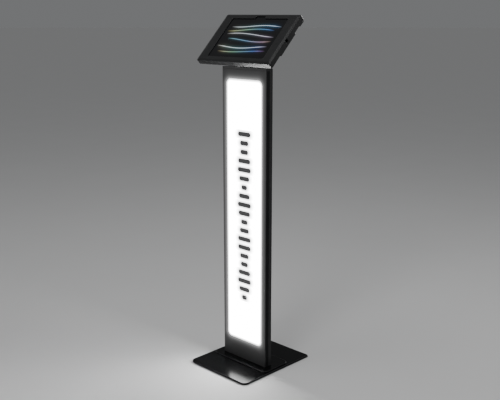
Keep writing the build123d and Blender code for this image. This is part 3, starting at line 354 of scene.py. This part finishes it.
def rockerLook(name, *plastic):
    # a bar and a ring in white on the rocker's two halves
    material = mattePolymer(name, *plastic)
    tree = material.node_tree
    shader = tree.nodes["Principled BSDF"]
    low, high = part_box("power_rocker")
    split = splitUp(tree, objectCoords(tree))
    offX = calc(tree, "SUBTRACT", split.outputs["X"], (low.x + high.x) / 2)
    offZ = calc(tree, "SUBTRACT", split.outputs["Z"], (low.z + high.z) / 2)
    far = distance(tree, offX, calc(tree, "SUBTRACT", offZ, rockerMarks["ringPlace"]))
    offRing = calc(tree, "ABSOLUTE", calc(tree, "SUBTRACT", far, rockerMarks["ring"]))
    ring = calc(tree, "LESS_THAN", offRing, rockerMarks["stroke"])
    barZ = calc(tree, "ABSOLUTE", calc(tree, "SUBTRACT", offZ, rockerMarks["barPlace"]))
    tall = calc(tree, "LESS_THAN", barZ, rockerMarks["ring"])
    thin = calc(tree, "LESS_THAN", calc(tree, "ABSOLUTE", offX), rockerMarks["stroke"])
    outer = calc(tree, "GREATER_THAN", split.outputs["Y"], high.y - rockerMarks["depth"])
    mark = product(tree, calc(tree, "MAXIMUM", ring, product(tree, tall, thin)), outer)
    base = shader.inputs["Base Color"].links[0].from_socket
    tree.links.new(blendColours(tree, mark, base, rockerMarks["paint"]), shader.inputs["Base Color"])
    return material


lens = {
    "rise": 0.001,
    "pupil": 0.0009,
    "pupilSoft": 0.0003,
    "rim": 0.0018,
    "rimSoft": 0.0002,
    "pupilTone": (0.010, 0.014, 0.045),
    "ringTone": (0.004, 0.004, 0.006),
    "rimTone": (0.05, 0.05, 0.055),
    "smearScale": 900.0,
    "smearRange": (0.3, 0.7),
    "rough": (0.05, 0.12),
}


def lensLook(name):
    # a bluish pupil in a black ring, with a paler rim round both
    material, tree, shader = startMaterial(name)
    low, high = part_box("tablet_camera")
    middle = (low + high) / 2
    away = tree.nodes.new("ShaderNodeVectorMath")
    away.operation = "DISTANCE"
    tree.links.new(objectCoords(tree), away.inputs[0])
    away.inputs[1].default_value = middle + headUp * lens["rise"]
    reach = away.outputs["Value"]
    ring = remap(tree, reach, lens["pupil"], lens["pupil"] + lens["pupilSoft"], 0.0, 1.0)
    rim = remap(tree, reach, lens["rim"], lens["rim"] + lens["rimSoft"], 0.0, 1.0)
    inner = blendColours(tree, ring, lens["pupilTone"], lens["ringTone"])
    tree.links.new(blendColours(tree, rim, inner, lens["rimTone"]), shader.inputs["Base Color"])
    smear = noise(tree, objectCoords(tree), lens["smearScale"])
    tree.links.new(remap(tree, smear, *lens["smearRange"], *lens["rough"]), shader.inputs["Roughness"])
    return material


panelLook = {
    "strength": 20.0,
    "rim": 0.045,  # share of the light at the window's outline
    "rimFade": 0.0026,
    "start": 0.2145,  # foot of the lowest printed bar's row
    "spacing": 0.0285,
    "rows": 20,
    "beat": 0.72,
    "swing": 0.018,
    "least": 0.004,
    "bar": 0.0074,
    "barSoft": 0.0004,
    "halo": 0.020,
    "calm": 0.075,  # share of the light left beside a bar, which keeps its edge crisp
    "throughInk": 0.03,
    "opal": (0.93, 0.94, 0.95),
    "ink": (0.02, 0.02, 0.022),
    "clouds": (14.0, 3.0, 0.5),
    "smear": (60.0, 3.0, 0.5),
    "grain": (1800.0, 2.0, 0.5),
    "noiseRange": (0.3, 0.7),
    "cloudLight": (0.985, 1.0),
    "rough": (0.28, 0.36),
    "bump": 0.05,
    "depth": 0.00002,
}


def barPlan(tree, split):
    # the distance from a printed bar's spine, and one where a row of bars is
    step = calc(tree, "SUBTRACT", split.outputs["Z"], panelLook["start"])
    step = calc(tree, "DIVIDE", step, panelLook["spacing"])
    row = calc(tree, "FLOOR", step)
    reach = product(tree, calc(tree, "SINE", product(tree, row, panelLook["beat"])), panelLook["swing"])
    reach = calc(tree, "ADD", calc(tree, "ABSOLUTE", reach), panelLook["least"])
    offMiddle = product(tree, calc(tree, "SUBTRACT", calc(tree, "FRACT", step), 0.5), panelLook["spacing"])
    pastEnd = calc(tree, "SUBTRACT", calc(tree, "ABSOLUTE", split.outputs["X"]), reach)
    away = distance(tree, calc(tree, "MAXIMUM", pastEnd, 0.0), offMiddle)
    fromFirst = calc(tree, "GREATER_THAN", row, -0.5)
    inRows = product(tree, fromFirst, calc(tree, "LESS_THAN", row, panelLook["rows"] - 0.5))
    return away, inRows


def litOpal(name):
    # lit opal sheet, dimmer at the window's rim, with a column of dark bars printed on it
    material, tree, shader = startMaterial(name)
    coords = objectCoords(tree)
    split = splitUp(tree, coords)
    inward = calc(tree, "DIVIDE", pastWindow(tree, split), -panelLook["rimFade"])
    rise = calc(tree, "MINIMUM", product(tree, calc(tree, "EXPONENT", inward), panelLook["rim"]), 1.0)
    clouds = noise(tree, coords, *panelLook["clouds"])
    cloud = remap(tree, clouds, *panelLook["noiseRange"], *panelLook["cloudLight"])
    away, inRows = barPlan(tree, split)
    bar, soft = panelLook["bar"], panelLook["barSoft"]
    ink = product(tree, remap(tree, away, bar - soft, bar + soft, 1.0, 0.0), inRows)
    halo = remap(tree, away, bar, bar + panelLook["halo"], panelLook["calm"], 1.0)
    around = calc(tree, "MAXIMUM", halo, calc(tree, "SUBTRACT", 1.0, inRows))
    shown = product(tree, around, remap(tree, ink, 0.0, 1.0, 1.0, panelLook["throughInk"]))
    level = product(tree, rise, cloud, shown)
    tree.links.new(blendColours(tree, ink, panelLook["opal"], panelLook["ink"]), shader.inputs["Base Color"])
    shader.inputs["Emission Color"].default_value = (1.0, 1.0, 1.0, 1.0)
    tree.links.new(product(tree, level, panelLook["strength"]), shader.inputs["Emission Strength"])
    smear = noise(tree, coords, *panelLook["smear"])
    gloss = remap(tree, smear, *panelLook["noiseRange"], *panelLook["rough"])
    tree.links.new(gloss, shader.inputs["Roughness"])
    addBump(tree, shader, noise(tree, coords, *panelLook["grain"]), panelLook["bump"], panelLook["depth"])
    return material


screen = {
    "width": 0.2285,
    "height": 0.1600,
    "edge": 0.0004,
    "strength": 1.15,
    "glass": (0.006, 0.006, 0.007, 1.0),
    "core": (0.9, 0.95, 1.0),
    "hazeShare": 0.22,
    "fadeFrom": 0.7,
    "smear": (40.0, 4.0, 0.6),
    "smearRange": (0.35, 0.7),
    "rough": (0.06, 0.13),
    "specular": 0.35,
    "ribbons": [
        {"level": 0.0490, "swing": 0.0040, "waves": 27.0, "phase": 0.4, "core": 0.0010, "haze": 0.0040,
         "middle": 0.006, "reach": 0.106, "white": 0.85,
         "colours": [(0.0, (0.34, 0.30, 0.24)), (1.0, (0.06, 0.34, 0.80)),
                     (0.45, (0.24, 0.48, 0.52)), (0.75, (0.10, 0.38, 0.66))]},
        {"level": 0.0330, "swing": 0.0050, "waves": 24.0, "phase": 0.9, "core": 0.0008, "haze": 0.0030,
         "middle": -0.008, "reach": 0.100, "white": 0.10,
         "colours": [(0.0, (0.55, 0.45, 0.16)), (1.0, (0.10, 0.16, 0.62)),
                     (0.4, (0.26, 0.50, 0.34)), (0.7, (0.06, 0.30, 0.60))]},
        {"level": 0.0130, "swing": 0.0065, "waves": 19.0, "phase": 2.5, "core": 0.0009, "haze": 0.0034,
         "middle": 0.002, "reach": 0.104, "white": 0.75,
         "colours": [(0.0, (0.42, 0.36, 0.30)), (1.0, (0.40, 0.22, 0.46)),
                     (0.5, (0.36, 0.44, 0.52)), (0.8, (0.42, 0.34, 0.50))]},
        {"level": -0.0080, "swing": 0.0060, "waves": 22.0, "phase": 3.6, "core": 0.0008, "haze": 0.0030,
         "middle": 0.010, "reach": 0.096, "white": 0.15,
         "colours": [(0.0, (0.20, 0.46, 0.42)), (1.0, (0.60, 0.42, 0.24)),
                     (0.5, (0.14, 0.34, 0.58)), (0.8, (0.46, 0.30, 0.44))]},
        {"level": -0.0360, "swing": 0.0048, "waves": 25.0, "phase": 5.0, "core": 0.0011, "haze": 0.0050,
         "middle": -0.004, "reach": 0.107, "white": 0.80,
         "colours": [(0.0, (0.50, 0.44, 0.26)), (1.0, (0.24, 0.12, 0.36)),
                     (0.4, (0.20, 0.50, 0.52)), (0.75, (0.06, 0.18, 0.56))]},
        {"level": -0.0530, "swing": 0.0040, "waves": 21.0, "phase": 5.6, "core": 0.0008, "haze": 0.0030,
         "middle": 0.006, "reach": 0.100, "white": 0.10,
         "colours": [(0.0, (0.52, 0.30, 0.14)), (1.0, (0.36, 0.10, 0.34)),
                     (0.4, (0.22, 0.46, 0.30)), (0.75, (0.06, 0.20, 0.60))]},
    ],
}


def insideOf(tree, offset, span):
    # one within the span, nothing past it
    return remap(tree, calc(tree, "ABSOLUTE", offset), span / 2 - screen["edge"], span / 2, 1.0, 0.0)


def ribbonLight(tree, across, along, ribbon):
    # a waving line with a bright core, a haze below it and soft ends, its colour changing along it
    wave = calc(tree, "SINE", calc(tree, "ADD", product(tree, across, ribbon["waves"]), ribbon["phase"]))
    line = calc(tree, "ADD", product(tree, wave, ribbon["swing"]), ribbon["level"])
    away = calc(tree, "SUBTRACT", along, line)
    coreReach = calc(tree, "ABSOLUTE", calc(tree, "DIVIDE", away, ribbon["core"]))
    core = calc(tree, "EXPONENT", product(tree, calc(tree, "POWER", coreReach, 2.0), -1.0))
    below = calc(tree, "SUBTRACT", product(tree, away, -1.0), ribbon["core"])
    hazeReach = calc(tree, "ABSOLUTE", calc(tree, "DIVIDE", below, ribbon["haze"]))
    haze = calc(tree, "EXPONENT", product(tree, hazeReach, -1.0))
    offMiddle = calc(tree, "ABSOLUTE", calc(tree, "SUBTRACT", across, ribbon["middle"]))
    fade = remap(tree, offMiddle, ribbon["reach"] * screen["fadeFrom"], ribbon["reach"], 1.0, 0.0)
    ramp = tree.nodes.new("ShaderNodeValToRGB")
    for index, (spot, colour) in enumerate(ribbon["colours"]):
        element = ramp.color_ramp.elements[index] if index < 2 else ramp.color_ramp.elements.new(spot)
        element.position = spot
        element.color = (*colour, 1.0)
    half = screen["width"] / 2
    tree.links.new(remap(tree, across, -half, half, 0.0, 1.0), ramp.inputs["Fac"])
    white = blendColours(tree, product(tree, core, ribbon["white"]), ramp.outputs["Color"], screen["core"])
    bright = product(tree, calc(tree, "ADD", core, product(tree, haze, screen["hazeShare"])), fade)
    light = tree.nodes.new("ShaderNodeVectorMath")
    light.operation = "SCALE"
    tree.links.new(white, light.inputs[0])
    tree.links.new(bright, light.inputs["Scale"])
    return light.outputs["Vector"]


def screenLook(name):
    # dark glass over a lit screen with soft ribbons of light on black
    material, tree, shader = startMaterial(name)
    place = tree.nodes.new("ShaderNodeMapping")
    place.inputs["Rotation"].default_value = (-slopeAngle, 0, 0)
    place.inputs["Location"].default_value = (0, -glassMiddle, -glassTop)
    tree.links.new(objectCoords(tree), place.inputs["Vector"])
    split = splitUp(tree, place.outputs["Vector"])
    across, along = split.outputs["X"], split.outputs["Y"]
    inside = product(
        tree, insideOf(tree, across, screen["width"]), insideOf(tree, along, screen["height"]),
    )
    glow = None
    for ribbon in screen["ribbons"]:
        light = ribbonLight(tree, across, along, ribbon)
        if glow is None:
            glow = light
            continue
        total = tree.nodes.new("ShaderNodeVectorMath")
        total.operation = "ADD"
        tree.links.new(glow, total.inputs[0])
        tree.links.new(light, total.inputs[1])
        glow = total.outputs["Vector"]
    shader.inputs["Base Color"].default_value = screen["glass"]
    tree.links.new(glow, shader.inputs["Emission Color"])
    tree.links.new(product(tree, inside, screen["strength"]), shader.inputs["Emission Strength"])
    smear = noise(tree, objectCoords(tree), *screen["smear"])
    tree.links.new(remap(tree, smear, *screen["smearRange"], *screen["rough"]), shader.inputs["Roughness"])
    shader.inputs["Specular IOR Level"].default_value = screen["specular"]
    return material


# tones of the coats, and for each coat its tones, roughness, peel scale, peel depth and specular
satinTones = ((0.0105, 0.0107, 0.0112), (0.0145, 0.0147, 0.0152))
glossTones = ((0.0030, 0.0031, 0.0033), (0.0048, 0.0049, 0.0051))
plasticTones = ((0.014, 0.014, 0.014), (0.022, 0.022, 0.022))
coats = {
    "satin": (*satinTones, 0.36, 0.46, 1500.0, 0.00002, 0.28),
    "gloss": (*glossTones, 0.15, 0.21, 900.0, 0.000004, 0.08),
    # post: a darker copy of the satin coat, painted shade on the post's sides
    "post": ((0.0075, 0.0077, 0.0080), (0.0105, 0.0107, 0.0110), 0.36, 0.46, 1500.0, 0.00005, 0.05),
    # cover: a lighter copy of the satin coat, painted light on the back
    "cover": ((0.0145, 0.0147, 0.0152), (0.0195, 0.0197, 0.0203), 0.34, 0.44, 1500.0, 0.00003, 0.20),
    # lock: a darker, duller copy of the satin coat, painted shade under the head's front lip
    "lock": (*glossTones, 0.34, 0.42, 1500.0, 0.00004, 0.12),
}
evenGrain = (1.0, 1.0, 1.0)
rolledGrain = (1.0, 1.0, 0.02)

finish = {
    "satin_black_steel": coatedSteel("satinBlackCoat", *coats["satin"]),
    "gloss_black_steel": coatedSteel("glossBlackCoat", *coats["gloss"]),
    "zinc_steel": platedMetal(
        "zincPlate", (0.42, 0.43, 0.45), (0.58, 0.58, 0.57), 0.38, 900.0, evenGrain),
    "black_rubber": mattePolymer(
        "blackRubber", (0.012, 0.012, 0.012), (0.024, 0.024, 0.023), 0.75, 1400.0, 0.00006),
    "black_foam": mattePolymer(
        "cellFoam", (0.010, 0.010, 0.010), (0.020, 0.020, 0.020), 0.9, 700.0, 0.0002),
    "opal_acrylic": litOpal("litOpal"),
    "clear_acrylic": mattePolymer(
        "clearAcrylic", (0.75, 0.80, 0.80), (0.82, 0.86, 0.86), 0.18, 200.0, 0.00001),
    "white_sheet": mattePolymer(
        "whiteReflector", (0.80, 0.80, 0.79), (0.88, 0.88, 0.87), 0.6, 500.0, 0.00002),
    "bare_aluminium": platedMetal(
        "millAluminium", (0.62, 0.63, 0.64), (0.74, 0.74, 0.75), 0.35, 500.0, rolledGrain),
    "led_strip": mattePolymer(
        "lightStrip", (0.80, 0.78, 0.70), (0.86, 0.85, 0.80), 0.5, 300.0, 0.00002),
    "black_plastic": mattePolymer("texturedPlastic", *plasticTones, 0.5, 2200.0, 0.00005),
    "tablet_aluminium": platedMetal(
        "darkAnodised", (0.09, 0.092, 0.097), (0.12, 0.122, 0.127), 0.32, 2500.0, evenGrain),
    "screen_glass": screenLook("litScreen"),
    "lens_glass": mattePolymer(
        "lensGlass", (0.01, 0.012, 0.03), (0.02, 0.02, 0.045), 0.12, 100.0, 0.000001),
    "black_nickel": platedMetal(
        "darkNickel", (0.10, 0.10, 0.105), (0.16, 0.16, 0.165), 0.24, 1200.0, evenGrain),
}
worn = {
    "satin_black_steel": wornEdge("satinEdge", (0.022, 0.022, 0.023), (0.060, 0.060, 0.062), 0.36),
    "gloss_black_steel": wornEdge("glossEdge", (0.012, 0.012, 0.013), (0.045, 0.045, 0.047), 0.32),
}
# the fascia and cap carry the painted glow round the lit window
paintedGlowFinish = paintedGlowCoat("fasciaCoat", *coats["satin"])
ownFinish = {
    "post_fascia": paintedGlowFinish,
    "post_cap": paintedGlowFinish,
    # the post's shell takes the darker copy of the coat, painted shade
    "post_shell": coatedSteel("postCoat", *coats["post"]),
    # the back cover takes the lighter copy of the coat, painted light
    "back_cover": coatedSteel("coverCoat", *coats["cover"]),
    "power_rocker": rockerLook("markedRocker", *plasticTones, 0.42, 2200.0, 0.00004),
    "tablet_camera": lensLook("ringedLens"),
    # the lock body takes the darker copy of the coat, painted shade
    "lock_body": coatedSteel("lockCoat", *coats["lock"]),
}
print("materials made:", len(finish) + len(worn) + len(ownFinish))


def finishOf(nodeName):
    return ownFinish.get(nodeName, finish[slotOf[nodeName]])


for nodeName, node in nodes.items():
    node.data.materials.clear()
    node.data.materials.append(finishOf(nodeName))

shaping = {
    "weld": 0.00001,
    "flat": 0.6,  # degrees, faces that bend less become one
    "sharp": 32.0,  # degrees, edges that bend more are rounded
    "longEdge": 0.03,
    "segments": 2,
    "wideSegments": 4,
    "strayed": 0.5,  # of the rounding's width
    "evenWeight": 50,
}


def ownShape(nodeName):
    build = bmesh.new()
    build.from_mesh(nodes[nodeName].data)
    bmesh.ops.remove_doubles(build, verts=build.verts, dist=shaping["weld"])
    return build


def mergeFlats(build):
    bend = math.radians(shaping["flat"])
    bmesh.ops.dissolve_limit(build, angle_limit=bend, verts=build.verts, edges=build.edges)


def makePiece(nodeName, build, materials, smooth=True):
    # an object on the node's body, in place of the node
    name = nodeName.replace("_", " ").title().replace(" ", "")
    body, slotName = bodyOf[nodeName], slotOf[nodeName]
    mesh = bpy.data.meshes.new(name)
    build.to_mesh(mesh)
    build.free()
    piece = bpy.data.objects.new(name, mesh)
    bpy.context.scene.collection.objects.link(piece)
    for material in materials:
        mesh.materials.append(material)
    for face in mesh.polygons:
        face.use_smooth = smooth
    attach(piece, body)
    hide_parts(nodeName)
    return piece


def roundEdges(build, edges, width, segments, clamp):
    bmesh.ops.bevel(
        build, geom=edges, offset=width, offset_type="OFFSET", affect="EDGES",
        segments=segments, profile=0.5, material=1, clamp_overlap=clamp,
    )


def dressNode(nodeName, width, crease=None, wide=None, wideWidth=0.0, clamp=False):
    # the node's own shape with its edges rounded as folded and coated sheet has them
    build = ownShape(nodeName)
    surface = BVHTree.FromBMesh(build)
    mergeFlats(build)
    if wide:
        picked = [edge for edge in build.edges if edge.is_manifold and wide(edge)]
        roundEdges(build, picked, wideWidth, shaping["wideSegments"], False)
    crisp = []
    for edge in build.edges:
        if not edge.is_manifold:
            continue
        bend = math.degrees(edge.calc_face_angle(0.0))
        creased = crease and bend > crease and edge.calc_length() > shaping["longEdge"]
        if bend > shaping["sharp"] or creased:
            crisp.append(edge)
    roundEdges(build, crisp, width, shaping["segments"], clamp)
    for vert in build.verts:  # a corner that the bevel throws off goes back to the sheet
        near, _, _, away = surface.find_nearest(vert.co)
        if away > shaping["strayed"] * max(width, wideWidth):
            vert.co = near
    coat = finishOf(nodeName)
    piece = makePiece(nodeName, build, [coat, worn.get(slotOf[nodeName], coat)])
    even = piece.modifiers.new("even", "WEIGHTED_NORMAL")
    even.weight = shaping["evenWeight"]
    even.keep_sharp = False


# folded and cut sheet, by the radius of its edges
edgeRound = {
    "base_plate": 0.0006,
    "foot_flange": 0.0005,
    "post_fascia": 0.0004,
    "post_shell": 0.0003,
    "back_cover": 0.0003,
    "post_cap": 0.0004,
    "front_cover": 0.0005,
    "rear_pan": 0.0004,
    "neck_bracket": 0.0004,
    "tilt_bracket": 0.0004,
    "tablet_case": 0.0002,
}
windowRound = {"width": 0.0011, "inset": 0.004, "level": 0.0001, "bend": 1.0}
lidCrease = 12.0  # degrees, the lid's bevels meet at less than a sharp edge's bend
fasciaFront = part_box("post_fascia")[0].y
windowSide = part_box("light_panel")[1].x


def onWindow(edge):
    # the edges of the lit window in the fascia's front face
    return all(
        abs(v.co.y - fasciaFront) < windowRound["level"]
        and abs(v.co.x) < windowSide - windowRound["inset"]
        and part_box("light_panel")[0].z < v.co.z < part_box("light_panel")[1].z
        for v in edge.verts
    ) and edge.calc_face_angle(0.0) > windowRound["bend"]


special = {
    "post_fascia": {"wide": onWindow, "wideWidth": windowRound["width"]},
    "front_cover": {"crease": lidCrease},
}
for nodeName, width in edgeRound.items():
    dressNode(nodeName, width, **special.get(nodeName, {}))

# smaller parts: moulded, turned and stamped edges, rounded no further than their faces allow
smallRound = {
    "base_pads": 0.0005,
    "foot_bracket": 0.0003,
    "power_inlet": 0.0003,
    "power_rocker": 0.0002,
    "entry_grommet": 0.0003,
    "switch_frame": 0.0002,
    "post_bolts": 0.0003,
    "top_bracket": 0.0003,
    "cap_grommet": 0.0003,
    "pan_grommet": 0.0003,
    "pan_hinge_leaf": 0.0003,
    "lid_hinge_leaf": 0.0003,
    "hinge_pin": 0.0002,
    "lock_body": 0.0003,
    "lock_nut": 0.0003,
    "lock_plug": 0.0002,
    "lock_cam": 0.0002,
    "lock_keeper": 0.0002,
    "tilt_nut": 0.0004,
    "outer_washers": 0.0002,
    "friction_washers": 0.0002,
    "power_button": 0.0001,
    "volume_up_button": 0.0001,
    "volume_down_button": 0.0001,
    "corner_cushions": 0.0004,
}
for nodeName, width in smallRound.items():
    dressNode(nodeName, width, clamp=True)
print("edges rounded on", len(edgeRound) + len(smallRound), "pieces")

# six-sided sockets sunk into the screw heads
sockets = {
    "cover_screws": {"out": (0, 1, 0), "across": 0.0026, "depth": 0.0009},
    "foot_screws": {"out": (0, -1, 0), "across": 0.0032, "depth": 0.0012},
    "neck_bolts": {"out": (0, 0, 1), "across": 0.0040, "depth": 0.0020},
    "tilt_bolt": {"out": (-1, 0, 0), "across": 0.0080, "depth": 0.0030},
    "tilt_bracket_screws": {"out": tuple(-headUp), "across": 0.0028, "depth": 0.0011},
}
flatEnd = {"facing": 0.999, "corners": 6}  # a head's end faces out and has more corners than a socket


def islandsOf(build):
    # the faces of each separate screw
    left = set(build.faces)
    parts = []
    for first in build.faces:
        if first not in left:
            continue
        left.discard(first)
        queue = [first]
        members = {first}
        while queue:
            face = queue.pop()
            for edge in face.edges:
                for other in edge.link_faces:
                    if other in left:
                        left.discard(other)
                        members.add(other)
                        queue.append(other)
        parts.append(members)
    return parts


def sinkSockets(nodeName, socket):
    # each head's flat end gets a six-sided recess
    build = ownShape(nodeName)
    mergeFlats(build)
    out = Vector(socket["out"]).normalized()
    side = out.orthogonal().normalized()
    corner = out.cross(side)
    reach = socket["across"] / math.sqrt(3)
    ends = [
        face for face in build.faces
        if face.normal.dot(out) > flatEnd["facing"] and len(face.verts) > flatEnd["corners"]
    ]
    parts = islandsOf(build)
    for members in parts:
        own = [face for face in ends if face in members]
        if not own:
            continue
        top = max(own, key=lambda face: face.calc_center_median().dot(out))
        middle = top.calc_center_median()
        rim = list(top.edges)
        bmesh.ops.delete(build, geom=[top], context="FACES_ONLY")
        ring = [
            build.verts.new(middle + (side * math.cos(turn) + corner * math.sin(turn)) * reach)
            for turn in (math.pi / 3 * step for step in range(6))
        ]
        lips = [build.edges.new((ring[step - 1], ring[step])) for step in range(6)]
        bmesh.ops.bridge_loops(build, edges=rim + lips)
        floorRing = [build.verts.new(v.co - out * socket["depth"]) for v in ring]
        for step in range(6):
            build.faces.new((ring[step - 1], ring[step], floorRing[step], floorRing[step - 1]))
        build.faces.new(floorRing)
    bmesh.ops.recalc_face_normals(build, faces=build.faces)
    makePiece(nodeName, build, [finishOf(nodeName)], smooth=False)
    return len(parts)


print("sockets sunk:", sum(sinkSockets(nodeName, socket) for nodeName, socket in sockets.items()))

# floor and light
stageLook = {
    "radius": 70.0,
    "sides": 96,
    "tone": (0.62, 0.62, 0.62),
    "darker": 0.96,
    "noise": (3.0, 5.0, 0.6),
    "rough": 0.6,
    "specular": 0.0,
    "world": (0.55, 0.56, 0.57, 1.0),
    "strength": 0.31,
}
build = bmesh.new()
bmesh.ops.create_circle(build, cap_ends=True, segments=stageLook["sides"], radius=stageLook["radius"])
floorMesh = bpy.data.meshes.new("floor")
build.to_mesh(floorMesh)
build.free()
floor = bpy.data.objects.new("floor", floorMesh)
bpy.context.scene.collection.objects.link(floor)
floorMaterial, floorTree, floorShader = startMaterial("paleFloor")
floorNoise = noise(floorTree, objectCoords(floorTree), *stageLook["noise"])
floorDark = tuple(stageLook["darker"] * c for c in stageLook["tone"])
floorTone = blendColours(floorTree, floorNoise, floorDark, stageLook["tone"])
floorTree.links.new(floorTone, floorShader.inputs["Base Color"])
floorShader.inputs["Roughness"].default_value = stageLook["rough"]
floorShader.inputs["Specular IOR Level"].default_value = stageLook["specular"]
floorMesh.materials.append(floorMaterial)

world = bpy.data.worlds.new("studio")
world.use_nodes = True
background = world.node_tree.nodes["Background"]
background.inputs["Color"].default_value = stageLook["world"]
background.inputs["Strength"].default_value = stageLook["strength"]
bpy.context.scene.world = world


def placeLight(lamp, kind, toward):
    # a light that shines along the given way
    light = bpy.data.lights.new(lamp["name"], kind)
    light.energy = lamp["power"]
    lightObject = bpy.data.objects.new(lamp["name"], light)
    lightObject.rotation_euler = toward.to_track_quat("-Z", "Y").to_euler()
    bpy.context.scene.collection.objects.link(lightObject)
    return light, lightObject


# round lamps near the stand, each with the cone of its light in degrees
lamps = [
    {"name": "overhead", "place": (-0.45, -0.85, 3.1), "aim": (0, -0.1, 0.9),
     "size": 1.1, "power": 10.0, "cone": 180},
    {"name": "highRight", "place": (1.3, 0.9, 2.6), "aim": (0, 0, 0.9),
     "size": 1.0, "power": 26.0, "cone": 180},
    {"name": "key", "place": (1.0, -3.0, 2.6), "aim": (0, 0, 0.6),
     "size": 1.6, "power": 40.0, "cone": 180},
    {"name": "lowFront", "place": (0.9, -1.5, 0.32), "aim": (0.1, -0.1, 0.98),
     "size": 0.3, "power": 1.2, "cone": 60},
]
for lamp in lamps:
    light, lightObject = placeLight(lamp, "AREA", Vector(lamp["aim"]) - Vector(lamp["place"]))
    light.shape = "DISK"
    light.size = lamp["size"]
    light.spread = math.radians(lamp["cone"])
    lightObject.location = lamp["place"]

# wide far lights, so that the back and the left side are read as well
farLights = [
    {"name": "behind", "from": (0.02, 1.0, 0.19), "spread": 20, "power": 1.40},
    {"name": "leftSide", "from": (-1.0, -0.05, 0.30), "spread": 30, "power": 0.22},
]
for lamp in farLights:
    light, lightObject = placeLight(lamp, "SUN", -Vector(lamp["from"]))
    light.angle = math.radians(lamp["spread"])
print("stage lit with", len(lamps) + len(farLights), "lamps")
